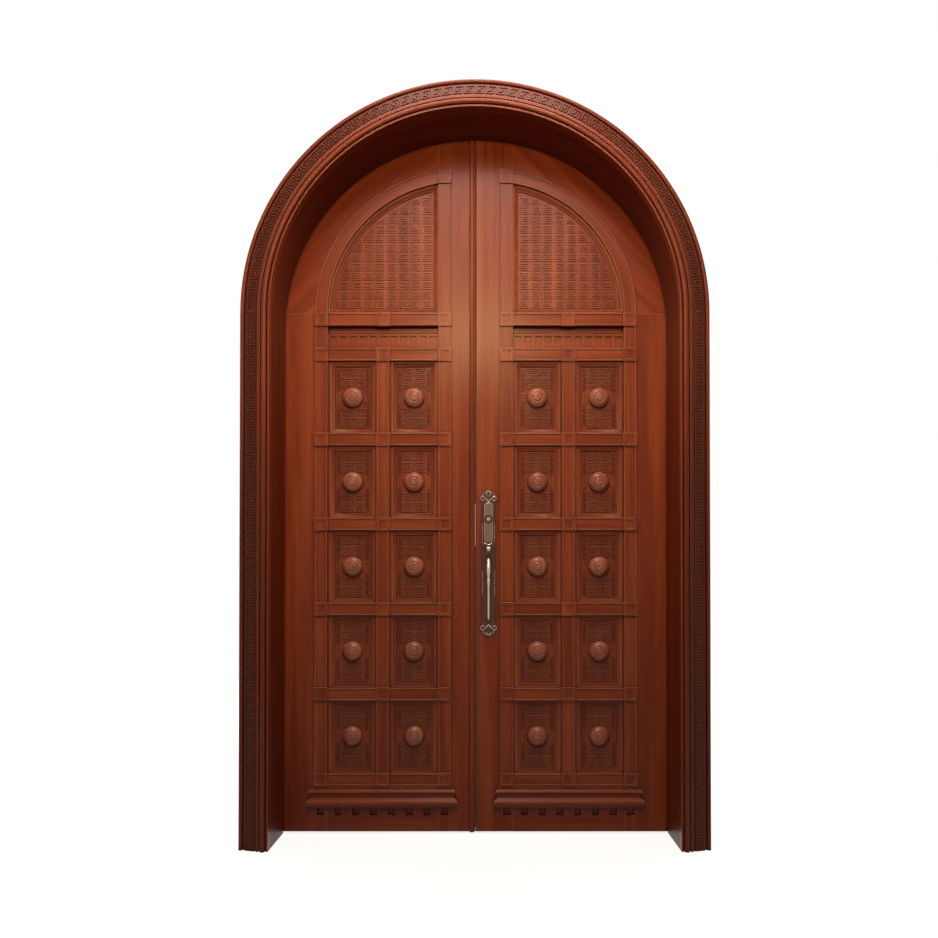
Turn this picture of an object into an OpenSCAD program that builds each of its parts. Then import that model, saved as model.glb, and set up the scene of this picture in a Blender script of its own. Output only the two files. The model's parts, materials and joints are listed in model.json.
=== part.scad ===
// Arched double-leaf carved front door in its moulded frame.
// Millimetres. X runs across the doorway, Y goes into the building, Z is up.
// The origin is the middle of the doorway at floor level, on the plane of the wall's outer face.

/* [Doorway] */
// Half the clear width between the jambs, and the radius of the arch
opening_r = 745; // [710:5:790]
// Height of the springline of the arch above the floor
spring_z = 1955; // [1915:5:1990]

/* [Casing] */
// Width of the flat fillet at the casing's inner edge
inner_fillet_w = 7; // [5:0.5:10]
// Width of the large torus beside it
torus_w = 20; // [16:1:26]
// Width of the fillet between the torus and the carved strip
fillet_w = 10; // [6:1:14]
// Width of the carved key-fret strip
fret_w = 47; // [40:1:60]
// Width of the bead along the outer edge
bead_w = 16; // [10:1:22]
// Width of the grooves between the members
groove_w = 3; // [2:0.5:5]
// How far the casing stands off the wall
casing_t = 45; // [42:1:60]
// How far the fillets lie behind the crown of the torus
fillet_drop = 7; // [4:0.5:9]
// How far the groove beside the torus lies behind its crown
groove_drop = 15; // [13:0.5:18]
// How far the carved strip lies behind the crown of the torus
fret_drop = 14; // [10:0.5:16]
// How much the carved strip falls back towards its outer edge
fret_fall = 13; // [6:1:15]
// Thickness of the carved strip
fret_t = 5; // [4:0.5:8]

/* [Carving] */
// Length of one key of the casing's fret
key_pitch = 39.5; // [34:0.5:46]
// Width of the raised line of the frets
key_line = 4.5; // [3.5:0.25:5.5]
// Height of the carved relief
relief = 3; // [2:0.5:5]
// Distance between neighbouring lines of the panel frets
fret_step = 8.4; // [7.5:0.1:9]
// Distance between the columns of keys in the arch panel
lattice_x = 46.5; // [42:0.5:60]
// Distance between the rows of keys in the arch panel
lattice_z = 37; // [34:0.5:50]

/* [Jambs] */
// Depth of the jambs from the wall's outer face to the back
jamb_depth = 245; // [235:1:275]
// Depth of the reveal in front of the stop
stop_depth = 185; // [150:1:190]
// Thickness of the jambs at the reveal
jamb_t = 44; // [38:1:60]
// How far the rebate is cut into the jambs
rebate = 14; // [12:1:18]
// How far the front edges of the jambs are let into the casing
jamb_lap = 3; // [2:0.5:6]
// Diameter of the frame fixing holes in the rebate
fixing_d = 9; // [6:0.5:12]
// Height of the lower fixing hole
fixing_z = 490; // [420:5:560]
// Distance between the two fixing holes of a jamb
fixing_pitch = 1080; // [1000:5:1150]
// Width of the weather seal
seal_w = 8; // [5:0.5:10]
// Thickness of the weather seal
seal_t = 1.7; // [1:0.1:3]

/* [Leaf] */
// Gap between the leaf's edge and the rebate
edge_gap = 3; // [2.5:0.25:5]
// Gap under the leaves
floor_gap = 6; // [4:1:12]
// Gap between the two leaves
meeting_gap = 5; // [4:0.5:8]
// Width of the bead along the meeting edge of the left leaf
astragal_w = 19; // [14:1:24]
// How far that bead stands off the leaf
astragal_t = 12; // [10:1:18]
// Distance of that bead from the leaf's meeting edge
astragal_inset = 2.5; // [1.5:0.5:6]

/* [Grid] */
// Distance of the inner upright band from the middle of the doorway
first_upright_x = 121; // [116:1:130]
// Distance between the upright bands
column_pitch = 240; // [228:1:250]
// Height of the lowest cross band
first_band_z = 208; // [200:1:220]
// Distance between the cross bands
row_pitch = 330; // [322:1:336]
// Rows of carved panels
rows = 5; // [4:1:5]
// Distance between the two cross bands of the frieze
frieze_pitch = 138; // [130:1:150]
// Width of the raised bands
band_w = 48; // [42:1:52]
// How far the bands stand off the leaf
band_t = 9; // [6:0.5:12]
// Width of the raised border on each edge of a band
band_border = 5; // [3:0.5:8]
// How far the middle of a band is sunk
band_sink = 3; // [1.5:0.5:5]
// Side of the square blocks where bands cross
block_w = 54; // [53:1:60]
// How far the blocks stand off the leaf
block_t = 12; // [10:0.5:16]
// Side of the sunk square in a block
block_field = 32; // [20:1:40]
// Distance of the arched band's centre from the middle of the doorway
arch_x = 63; // [50:1:75]

/* [Panels] */
// Flat margin at the sides of a panel moulding
rim_x = 11; // [6:1:16]
// Flat margin at the top and bottom of a panel moulding
rim_z = 3; // [2:0.5:8]
// Width of the splayed moulding
coffer_w = 18; // [15:1:22]
// Depth of the carved panels behind the face of the leaf
panel_sink = 14; // [11:0.5:18]
// Width and depth of the small steps of the moulding
quirk = 2.5; // [1.5:0.25:3]
// Depth of the plain recess on the inner side of a panel
back_sink = 12; // [8:1:18]
// Width of the bevel round the raised field on the inner side
back_bevel = 24; // [12:1:32]
// Height of that raised field
back_rise = 8; // [4:0.5:8]
// Diameter of the turned bosses
boss_d = 80; // [70:1:88]
// How far the bosses stand off the carved panel
boss_h = 28; // [20:1:34]
// Diameter of the ring cut into the crown of a boss
boss_ring_d = 40; // [30:1:50]

/* [Frieze] */
// Flutes in the frieze of a leaf
flutes = 11; // [9:1:12]
// Width of a flute
flute_w = 28; // [20:1:32]
// Height of a flute
flute_h = 44; // [36:1:48]
// Depth of a flute
flute_d = 4; // [2:0.5:6]
// Height of the fluted board below its cornice
frieze_board_h = 60; // [58:1:66]

/* [Drip moulding] */
// Length of the drip moulding
drip_w = 584; // [560:2:620]
// How far the drip moulding stands off the leaf
drip_t = 28; // [24:1:34]
// Height of the lip at its foot
drip_lip_h = 6; // [4:1:8]
// Height of the lower torus
lower_torus_h = 28; // [24:1:30]
// Height of the cove between the tori
cove_h = 16; // [12:1:20]
// Height of the upper torus
upper_torus_h = 20; // [16:1:24]
// Height of the fillet on top
drip_fillet_h = 10; // [6:1:12]
// Pockets in the row below it
pockets = 8; // [6:1:8]
// Distance between the pockets
pocket_pitch = 69; // [64:1:72]
// Width of a pocket
pocket_w = 30; // [22:1:36]
// Height of a pocket
pocket_h = 34; // [24:1:40]
// Depth of a pocket
pocket_d = 12; // [6:1:18]

/* [Hinges] */
// Hinges on each leaf
hinges = 4; // [3:1:4]
// Height of the lowest hinge
hinge_z = 220; // [180:5:260]
// Distance between the hinges
hinge_pitch = 540; // [500:5:545]
// Length of a hinge
hinge_h = 110; // [90:1:130]
// Width of the hinge plates
hinge_w = 42; // [30:1:46]
// Thickness of the hinge plates
hinge_t = 2.5; // [2:0.25:3]
// Radius of the hinge knuckles
knuckle_r = 7; // [6:0.25:9]
// Radius of the hinge pins
pin_r = 3.5; // [2.5:0.25:4]

/* [Handle] */
// Distance of the handle from the middle of the doorway
handle_x = 50; // [46:1:56]
// Lowest point of the back plate
handle_bottom = 763; // [740:1:790]
// Highest point of the back plate
handle_top = 1330; // [1310:1:1360]
// Width of the back plate between its finials
plate_w = 56; // [52:1:62]
// Thickness of the back plate
plate_t = 5; // [4:0.5:7]
// Width of the raised field on the back plate
field_w = 36; // [34:1:40]
// Thickness of the raised field on the back plate
field_t = 3; // [2:0.5:5]
// Height of the grip's middle
grip_z = 946; // [940:1:950]
// Distance between the grip's two ends
grip_h = 236; // [200:1:240]
// How far the grip stands off its feet
grip_out = 54; // [46:1:64]
// Radius of the grip's broad upper part
grip_r = 11; // [9:0.5:13]
// Radius of the grip's stem where it is thinnest
stem_r = 5.5; // [4.5:0.25:7]

/* [Lock] */
// Height of the thumb piece, the latch bolt and the inner knob
latch_z = 1104; // [1100:1:1112]
// Height of the key cylinder, the deadbolt and the thumbturn
cylinder_z = 1217; // [1205:1:1230]
// Distance of the lock case's far side from the leaf's edge
lock_depth = 75; // [72:1:90]
// Thickness of the lock case
lock_t = 20; // [18:0.5:24]
// Throw of the latch bolt
latch_throw = 12; // [8:0.5:14]
// Throw of the deadbolt
deadbolt_throw = 20; // [14:1:24]
// Length of the paddle of the thumb piece
thumb_l = 42; // [34:1:50]
// Angle at which the pressed thumb piece points down
thumb_tilt = 12; // [8:1:14]
// Radius of the key cylinder
cylinder_r = 13; // [11:0.5:14]
// Radius of the key plug
plug_r = 6.5; // [5:0.25:8]
// Diameter of the inner knob
knob_d = 54; // [44:1:60]

/* [Flush bolts] */
// Radius of the flush bolts
bolt_r = 6; // [5:0.5:7]
// Distance of the flush bolts from the leaf's edge
bolt_inset = 13.5; // [12:0.5:18]
// Length of the flush bolts
bolt_l = 320; // [260:5:380]
// Throw of the flush bolts
bolt_throw = 18; // [12:1:22]

/* [Fits] */
// Clearance round panels, mouldings and mortised parts
fit = 0.2; // [0.1:0.05:0.3]
// Radial clearance of pins and spindles in their bores
running_fit = 0.05; // [0.03:0.01:0.1]
// Gap between pieces that pass each other
pass_gap = 0.5; // [0.4:0.1:0.8]

/* [Hidden] */
$fn = 96;
arc_fn = 240;
overlap = 1;
wood = "#7d4230";
dark_wood = "#5a2a20";
bronze = "#8d8378";
steel = "#9a9a9c";
rubber = "#262422";

// Members of the casing, as distances from its inner edge
torus_u = inner_fillet_w + groove_w;
fillet_u = torus_u + torus_w + groove_w;
fret_u = fillet_u + fillet_w + groove_w;
bead_u = fret_u + fret_w + groove_w;
casing_w = bead_u + bead_w;
fret_face = casing_t - fret_drop;
fret_seat = fret_face - fret_t;

// Leaf
rebate_r = opening_r + rebate;
leaf_r = rebate_r - edge_gap;
leaf_x = meeting_gap / 2;
seal_gap = 0.3;
leaf_front = stop_depth + seal_t + seal_gap;
leaf_back = jamb_depth;
leaf_mid = (leaf_front + leaf_back) / 2;

// Grid of bands
upright_x = [for (i = [0:2]) first_upright_x + i * column_pitch];
band_z = concat([for (i = [0:rows]) first_band_z + i * row_pitch],
                [first_band_z + rows * row_pitch + frieze_pitch]);
half_band = band_w / 2;
half_block = block_w / 2;
meeting_x = upright_x[0] + half_band;
stile_x = upright_x[2] - half_band;
cell_w = column_pitch - band_w;
cell_h = row_pitch - band_w;
cells = [for (c = [0:1], r = [0:rows - 1])
  [(upright_x[c] + upright_x[c + 1]) / 2, (band_z[r] + band_z[r + 1]) / 2]];

// Arch panel
arch_base = band_z[rows + 1] + half_band;
arch_band_r = upright_x[2] - arch_x;
arch_panel_r = arch_band_r - half_band;
top_block_z = arch_base + sqrt(pow(arch_band_r, 2) - pow(upright_x[0] - arch_x, 2));

// Hinges and lock
pin_x = leaf_r + edge_gap / 2;
pin_y = leaf_back + knuckle_r + pass_gap;
knuckle_h = hinge_h / 3;
hinge_heights = [for (i = [0:hinges - 1]) hinge_z + i * hinge_pitch];
pin_head_h = 6;
pin_head_r = knuckle_r - 1;
lock_edge = 3;
lock_wall = 2;
lock_margin = 44;
lock_bottom = latch_z - lock_margin;
lock_top = cylinder_z + lock_margin;
lock_face_w = 24;
lock_face_margin = 15;
bolt_room = 2;
lock_bolt_t = lock_t - 2 * lock_wall - bolt_room;
latch_size = [lock_bolt_t, 22];
latch_nose = 3;
deadbolt_size = [lock_bolt_t, 26];
bolt_body_l = 36;
keep_end = 4;
strike_room = 1;
spindle_w = 8;
spindle_room = 7;
spindle_start = 2;
thumb_room_w = 16;
thumb_room_h = 32;

// Flush bolts
bolt_x = leaf_x + bolt_inset;
bolt_top = spring_z + sqrt(pow(leaf_r, 2) - pow(bolt_x + bolt_r, 2)) - edge_gap;
bolt_bottom = floor_gap + edge_gap;
bolt_bore_r = bolt_r + 2 * running_fit;
bolt_bore_end = 2;
tab_w = 6;
tab_h = 14;
tab_back = 24;
bolt_plate_w = 20;
bolt_plate_h = 120;

// Points of an arc about c, from angle a0 to a1
function arc(c, r, a0, a1, n) =
  [for (i = [0:n]) c + r * [cos(a0 + (a1 - a0) * i / n), sin(a0 + (a1 - a0) * i / n)]];
function unit(v) = v / norm(v);
function left_of(v) = [-v[1], v[0]];
function reversed(list) = [for (i = [len(list) - 1:-1:0]) list[i]];

// One side of a line of even width along a path of square turns
function line_side(path, half, side) = let (last = len(path) - 1)
  [for (i = [0:last])
    let (before = unit(path[max(i, 1)] - path[max(i, 1) - 1]))
    let (after = unit(path[min(i, last - 1) + 1] - path[min(i, last - 1)]))
    i == 0 ? path[i] + half * (side * left_of(after) - after)
    : i == last ? path[i] + half * (side * left_of(before) + before)
    : path[i] + half * side * (left_of(before) + left_of(after))];
function line(path, width) =
  concat(line_side(path, width / 2, 1), reversed(line_side(path, width / 2, -1)));

// Running key fret of n keys, in steps of a quarter key
function key_path(n) = concat(
  [for (k = [0:n - 1], p = [[0, 0], [0, 3], [3, 3], [3, 1], [2, 1], [2, 2], [1, 2], [1, 0]])
    [4 * k + p[0], p[1]]],
  [[4 * n, 0], [4 * n, 3]]);

// Square spirals of the panels, in fret steps about their middle
large_spiral = [for (p = [[0, 0], [5, 0], [5, 4], [0, 4], [0, 1], [4, 1], [4, 3], [1, 3], [1, 2], [3, 2]])
  p - [2.5, 2]];
small_spiral = [for (p = [[0, 0], [4, 0], [4, 3], [0, 3], [0, 1], [3, 1], [3, 2], [1, 2]]) p - [2, 1.5]];
side_hook = [[1, -2], [0, -2], [0, 2], [1, 2]];

casing_profile = concat(
  [[jamb_t + fit, 0], [jamb_t + fit, jamb_lap], [0, jamb_lap],
   [0, casing_t - fillet_drop], [inner_fillet_w, casing_t - fillet_drop],
   [inner_fillet_w, casing_t - groove_drop], [torus_u, casing_t - groove_drop]],
  arc([torus_u + torus_w / 2, casing_t - torus_w / 2], torus_w / 2, 180, 0, 10),
  [[torus_u + torus_w, casing_t - groove_drop], [fillet_u, casing_t - groove_drop],
   [fillet_u, casing_t - fillet_drop], [fillet_u + fillet_w, casing_t - fillet_drop],
   [fillet_u + fillet_w, fret_seat + overlap], [fret_u, fret_seat + overlap],
   [fret_u, fret_seat], [fret_u + fret_w, fret_seat - fret_fall],
   [bead_u, fret_seat - fret_fall]],
  arc([bead_u + bead_w / 2, fret_seat - fret_fall + overlap], bead_w / 2, 180, 0, 8),
  [[casing_w, 0]]);

jamb_profile = [[0, -jamb_lap], [jamb_t, -jamb_lap], [jamb_t, jamb_depth],
                [rebate, jamb_depth], [rebate, stop_depth], [0, stop_depth]];

seal_out = rebate - edge_gap - 1;
seal_profile = [[seal_out - seal_w, stop_depth], [seal_out, stop_depth],
                [seal_out, stop_depth + seal_t], [seal_out - seal_w, stop_depth + seal_t]];

band_profile = [[-half_band, 0], [-half_band, band_t], [band_border - half_band, band_t],
                [band_border - half_band, band_t - band_sink], [half_band - band_border, band_t - band_sink],
                [half_band - band_border, band_t], [half_band, band_t], [half_band, 0]];

// Splayed moulding round a panel, as inset and depth
coffer_profile = [[0, -overlap], [0, quirk], [quirk, quirk],
                  [coffer_w - 2 * quirk, panel_sink - 2 * quirk], [coffer_w - quirk, panel_sink - 2 * quirk],
                  [coffer_w - quirk, panel_sink - quirk], [coffer_w, panel_sink],
                  [coffer_w, panel_sink + overlap]];

// Drip moulding, as height and distance from the leaf: two tori with a cove between
lower_bulge = 10;
upper_bulge = 7;
cove_dip = 6;
lower_base = drip_t - lower_bulge;
upper_base = lower_base - 4;
drip_fillet_t = upper_base - 5;
cove_z = drip_lip_h + lower_torus_h;
upper_z = cove_z + cove_h;
drip_fillet_z = upper_z + upper_torus_h;
drip_h = drip_fillet_z + drip_fillet_h;
drip_bottom = band_z[0] - half_block - drip_h;
swell_steps = 8;
function swell(z, h, base, rise, skip) =
  [for (i = [skip:swell_steps - skip]) [z + h * i / swell_steps, base + rise * sin(180 * i / swell_steps)]];
drip_profile = concat(
  [[0, upper_base], [drip_lip_h, upper_base]],
  swell(drip_lip_h, lower_torus_h, lower_base, lower_bulge, 0),
  swell(cove_z, cove_h, lower_base, -cove_dip, 1),
  swell(upper_z, upper_torus_h, upper_base, upper_bulge, 0),
  [[drip_fillet_z, drip_fillet_t], [drip_h, drip_fillet_t]]);

// Turned boss: a domed rim, a groove and a low crown, as radius and height
boss_edge = 4;
boss_groove_w = 4;
boss_groove_d = 2.5;
crown_drop = 1;
dome_steps = 5;
dome_end = acos(boss_ring_d / boss_d);
dome_top = boss_edge + (boss_h - boss_edge) * sin(dome_end);
boss_profile = concat(
  [[0, 0], [boss_d / 2, 0]],
  [for (i = [0:dome_steps]) let (a = dome_end * i / dome_steps)
    [boss_d / 2 * cos(a), boss_edge + (boss_h - boss_edge) * sin(a)]],
  [[(boss_ring_d - boss_groove_w) / 2, dome_top - boss_groove_d],
   [boss_ring_d / 2 - boss_groove_w, dome_top],
   [boss_ring_d / 4, boss_h - crown_drop], [0, boss_h]]);

// Inner knob: shank, neck and a flattened ball, as radius and depth
inner_face = leaf_back + plate_t;
shank_start = leaf_back + pass_gap;
knob_shank_r = 10;
knob_shank_l = 4;
knob_neck_r = 8;
knob_neck_l = 20;
knob_half = 17;
knob_start = -65;
knob_steps = 10;
knob_middle = inner_face + knob_neck_l - knob_half * sin(knob_start);
knob_profile = concat(
  [[0, shank_start], [knob_shank_r, shank_start], [knob_shank_r, inner_face + knob_shank_l],
   [knob_neck_r, inner_face + knob_shank_l + knob_shank_r - knob_neck_r],
   [knob_neck_r, inner_face + knob_neck_l]],
  [for (i = [0:knob_steps]) let (a = knob_start + (90 - knob_start) * i / knob_steps)
    [knob_d / 2 * cos(a), knob_middle + knob_half * sin(a)]]);

// Flat shape in the plane of the leaf, from depth y0 to depth y1
module slab(y0, y1) {
  translate([0, y1, 0]) rotate([90, 0, 0]) linear_extrude(y1 - y0) children();
}

// Profile of distance and depth, swept along a leg or round the arch
module leg(profile) {
  linear_extrude(spring_z) polygon([for (p = profile) [opening_r + p[0], p[1]]]);
}
module arch(profile) {
  translate([0, 0, spring_z]) rotate([90, 0, 0]) rotate_extrude(angle = 180, $fn = arc_fn)
    polygon([for (p = profile) [opening_r + p[0], -p[1]]]);
}
module mirrored() {
  mirror([1, 0, 0]) children();
}
function front(profile) = [for (p = profile) [p[0], -p[1]]];

// Fret strip: a plain board and, cut to the same slope, its raised key line
fret_board = [[fret_u, fret_seat], [fret_u, fret_face],
              [fret_u + fret_w, fret_face - fret_fall], [fret_u + fret_w, fret_seat - fret_fall]];
fret_crown = [
  for (p = [[0, -overlap], [0, relief], [fret_w, relief - fret_fall], [fret_w, -overlap - fret_fall]])
    [fret_u + p[0], fret_face + p[1]]];
fret_line_u = fret_u + fret_w / 2 - 1.5 * key_pitch / 4;
leg_keys = floor((spring_z - key_line) / key_pitch);
arch_fret_l = PI * (opening_r + fret_u + fret_w / 2);
arch_keys = floor((arch_fret_l - key_line) / key_pitch);
function fret_line(keys, run) = line(
  [for (p = key_path(keys))
    [fret_line_u + p[1] * key_pitch / 4, key_line / 2 + p[0] * (run - key_line) / (4 * keys)]],
  key_line);

module casing_leg() {
  color(wood) leg(front(casing_profile));
}
module casing_left() mirrored() casing_leg();
module casing_right() casing_leg();
module casing_arch() {
  color(wood) arch(front(casing_profile));
}

module fret_strip_leg() {
  color(wood) {
    leg(front(fret_board));
    intersection() {
      leg(front(fret_crown));
      slab(-casing_t, 0) polygon([for (p = fret_line(leg_keys, spring_z)) [opening_r + p[0], p[1]]]);
    }
  }
}
module fret_strip_left() mirrored() fret_strip_leg();
module fret_strip_right() fret_strip_leg();
module fret_strip_arch() {
  color(wood) {
    arch(front(fret_board));
    intersection() {
      arch(front(fret_crown));
      translate([0, 0, spring_z]) slab(-casing_t, 0)
        polygon([for (p = fret_line(arch_keys, arch_fret_l))
          (opening_r + p[0]) * [cos(180 * p[1] / arch_fret_l), sin(180 * p[1] / arch_fret_l)]]);
    }
  }
}

module hinge_recesses(x) {
  for (z = hinge_heights) translate([x, leaf_back - hinge_w, z - hinge_h / 2])
    cube([hinge_t, hinge_w + overlap, hinge_h]);
}
module jamb_leg() {
  color(dark_wood) difference() {
    leg(jamb_profile);
    hinge_recesses(rebate_r);
    for (z = [fixing_z, fixing_z + fixing_pitch]) translate([rebate_r - overlap, leaf_mid, z])
      rotate([0, 90, 0]) cylinder(d = fixing_d, h = jamb_t - rebate + 2 * overlap);
  }
}
module jamb_left() mirrored() jamb_leg();
module jamb_right() jamb_leg();
module jamb_arch() {
  color(dark_wood) difference() {
    arch(jamb_profile);
    translate([-bolt_x, leaf_mid, bolt_top]) cylinder(r = bolt_r + pass_gap, h = jamb_t + rebate);
  }
}
module weather_seal() {
  color(rubber) {
    leg(seal_profile);
    arch(seal_profile);
    mirrored() leg(seal_profile);
  }
}

// Butt hinges: plates let into the jamb and the leaf, knuckles outside the back face
module knuckle(z0, z1) {
  translate([pin_x, pin_y, z0]) cylinder(r = knuckle_r, h = z1 - z0);
}
module pin_bore(z) {
  translate([pin_x, pin_y, z - hinge_h]) cylinder(r = pin_r + running_fit, h = 2 * hinge_h);
}
module hinge_plate(x, z0, z1, y1) {
  translate([x, leaf_back - hinge_w, z0]) cube([hinge_t, y1 - leaf_back + hinge_w, z1 - z0]);
}
module frame_hinges() {
  color(bronze) for (z = hinge_heights) difference() {
    union() {
      hinge_plate(rebate_r, z - hinge_h / 2, z + hinge_h / 2, leaf_back);
      for (end = [z - hinge_h / 2, z + hinge_h / 2 - knuckle_h]) {
        hinge_plate(rebate_r, end, end + knuckle_h, pin_y);
        knuckle(end, end + knuckle_h);
      }
    }
    pin_bore(z);
  }
}
module leaf_hinges() {
  color(bronze) for (z = hinge_heights) difference() {
    union() {
      hinge_plate(leaf_r - hinge_t, z - hinge_h / 2, z + hinge_h / 2, leaf_back);
      hinge_plate(leaf_r - hinge_t, z - knuckle_h / 2 + pass_gap, z + knuckle_h / 2 - pass_gap, pin_y);
      knuckle(z - knuckle_h / 2 + pass_gap, z + knuckle_h / 2 - pass_gap);
    }
    pin_bore(z);
  }
}
module hinge_pins() {
  color(steel) for (z = hinge_heights) translate([pin_x, pin_y, z - hinge_h / 2]) {
    cylinder(r = pin_r, h = hinge_h);
    for (end = [-pin_head_h, hinge_h]) translate([0, 0, end]) cylinder(r = pin_head_r, h = pin_head_h);
  }
}
module left_frame_hinges() mirrored() frame_hinges();
module right_frame_hinges() frame_hinges();
module left_leaf_hinges() mirrored() leaf_hinges();
module right_leaf_hinges() leaf_hinges();
module left_hinge_pins() mirrored() hinge_pins();
module right_hinge_pins() hinge_pins();

// Leaf: stiles, rails and the arched head, all drawn for the right leaf
module leaf_outline() {
  translate([leaf_x, floor_gap]) square([leaf_r - leaf_x, spring_z - floor_gap]);
  intersection() {
    translate([0, spring_z]) circle(leaf_r, $fn = arc_fn);
    translate([leaf_x, spring_z]) square(leaf_r);
  }
}
module leaf_piece(x0, x1, z0, z1) {
  slab(leaf_front, leaf_back) intersection() {
    leaf_outline();
    translate([x0, z0]) square([x1 - x0, z1 - z0]);
  }
}
module pocket_row() {
  for (i = [0:pockets - 1])
    translate([upright_x[1] + (i - (pockets - 1) / 2) * pocket_pitch - pocket_w / 2,
               leaf_front - overlap, drip_bottom - pocket_h])
      cube([pocket_w, pocket_d + overlap, pocket_h]);
}
module hinge_stile() {
  color(wood) difference() {
    leaf_piece(stile_x, leaf_r, floor_gap, arch_base);
    hinge_recesses(leaf_r - hinge_t);
    pocket_row();
  }
}
module meeting_stile() {
  difference() {
    leaf_piece(leaf_x, meeting_x, floor_gap, spring_z + leaf_r);
    pocket_row();
  }
}
module arch_rail() {
  color(wood) slab(leaf_front, leaf_back) difference() {
    intersection() {
      leaf_outline();
      translate([meeting_x, arch_base]) square(leaf_r);
    }
    translate([arch_x, arch_base]) circle(arch_panel_r, $fn = arc_fn);
  }
}
module rails() {
  color(wood) difference() {
    union() {
      for (i = [0:rows + 1]) let (z0 = i == 0 ? floor_gap : band_z[i] - half_band)
        translate([meeting_x, leaf_front, z0])
          cube([stile_x - meeting_x, leaf_back - leaf_front, band_z[i] + half_band - z0]);
      for (i = [0:rows - 1]) translate([upright_x[1] - half_band, leaf_front, band_z[i] + half_band + fit])
        cube([band_w, leaf_back - leaf_front, cell_h - 2 * fit]);
    }
    pocket_row();
  }
}

// Raised bands and the blocks where they cross
module upright_band(x, z0, z1) {
  translate([x, leaf_front, z0]) linear_extrude(z1 - z0) polygon(front(band_profile));
}
module cross_band(z, x0, x1) {
  translate([x0, leaf_front, z]) rotate([90, 0, 90]) linear_extrude(x1 - x0)
    polygon([for (p = band_profile) [-p[1], p[0]]]);
}
module bands() {
  color(wood) {
    for (r = [0:rows - 1], x = upright_x)
      upright_band(x, band_z[r] + half_block, band_z[r + 1] - half_block);
    for (x = [upright_x[0], upright_x[2]])
      upright_band(x, band_z[rows] + half_block, band_z[rows + 1] - half_block);
    upright_band(upright_x[0], band_z[rows + 1] + half_block, top_block_z - half_block);
    for (z = band_z, c = [0:1]) cross_band(z, upright_x[c] + half_block, upright_x[c + 1] - half_block);
  }
}
module arch_band() {
  color(wood) intersection() {
    translate([arch_x, leaf_front, arch_base]) rotate([90, 0, 0]) rotate_extrude(angle = 90, $fn = arc_fn)
      polygon([for (p = band_profile) [arch_band_r + p[0], p[1]]]);
    translate([upright_x[0] + half_block, leaf_front - band_t, band_z[rows + 1] + half_block])
      cube([leaf_r, band_t, leaf_r]);
  }
}
module block(x, z) {
  translate([x, leaf_front - block_t / 2, z]) difference() {
    cube([block_w, block_t, block_w], center = true);
    translate([0, -block_t / 2, 0]) cube([block_field, 2 * band_sink, block_field], center = true);
  }
}
module blocks() {
  color(wood) {
    for (x = upright_x, z = band_z) block(x, z);
    block(upright_x[0], top_block_z);
  }
}

// Splayed mouldings: the profile cut from both directions meets in mitres
function half_widths(w) = concat(
  [for (p = coffer_profile) [w / 2 - p[0], p[1]]],
  [for (p = reversed(coffer_profile)) [p[0] - w / 2, p[1]]]);
module coffer(w, h) {
  intersection() {
    translate([0, 0, -h]) linear_extrude(2 * h) polygon(half_widths(w));
    translate([-w, 0, 0]) rotate([90, 0, 90]) linear_extrude(2 * w)
      polygon([for (p = half_widths(h)) [p[1], p[0]]]);
  }
}
module panel_mouldings() {
  color(wood) for (c = cells) translate([c[0], leaf_front, c[1]]) difference() {
    translate([fit - cell_w / 2, 0, fit - cell_h / 2])
      cube([cell_w - 2 * fit, panel_sink, cell_h - 2 * fit]);
    coffer(cell_w - 2 * rim_x, cell_h - 2 * rim_z);
  }
}

// Fret relief on the face of a panel, root sunk into the board
module fret(path) {
  slab(-relief, overlap) polygon(line(fret_step * path, key_line));
}
spiral_pitch = [5 * fret_step + 2 * key_line, 4 * fret_step + 1.2 * key_line];
spiral_z = cell_h / 2 - rim_z - coffer_w - spiral_pitch[1] / 2 - key_line / 2;
module panel_frets() {
  for (side = [0, 1], end = [0, 1], row = [0, 1]) mirror([side, 0, 0]) mirror([0, 0, end])
    translate([spiral_pitch[0] / 2, 0, spiral_z - row * spiral_pitch[1]])
      mirror([row, 0, 0]) fret(large_spiral);
  for (side = [0, 1]) mirror([side, 0, 0]) translate([boss_d / 2 + fret_step, 0, 0]) fret(side_hook);
}
module back_field(w, h) {
  slope = [[w / 2, 0], [w / 2 - back_bevel, back_rise], [back_bevel - w / 2, back_rise], [-w / 2, 0]];
  rise = [[h / 2, 0], [h / 2 - back_bevel, back_rise], [back_bevel - h / 2, back_rise], [-h / 2, 0]];
  intersection() {
    translate([0, 0, -h]) linear_extrude(2 * h) polygon(slope);
    translate([-w, 0, 0]) rotate([90, 0, 90]) linear_extrude(2 * w) polygon([for (p = rise) [p[1], p[0]]]);
  }
}
panel_back = leaf_back - leaf_front - back_sink;
module carved_panels() {
  color(wood) for (c = cells) translate([c[0], leaf_front, c[1]]) {
    translate([fit - cell_w / 2, panel_sink, fit - cell_h / 2])
      cube([cell_w - 2 * fit, panel_back - panel_sink, cell_h - 2 * fit]);
    translate([0, panel_sink, 0]) panel_frets();
    translate([0, panel_back, 0]) back_field(cell_w - 2 * coffer_w, cell_h - 2 * coffer_w);
  }
}
module bosses() {
  color(wood) for (c = cells) translate([c[0], leaf_front + panel_sink, c[1]])
    rotate([90, 0, 0]) rotate_extrude() polygon(boss_profile);
}

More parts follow.
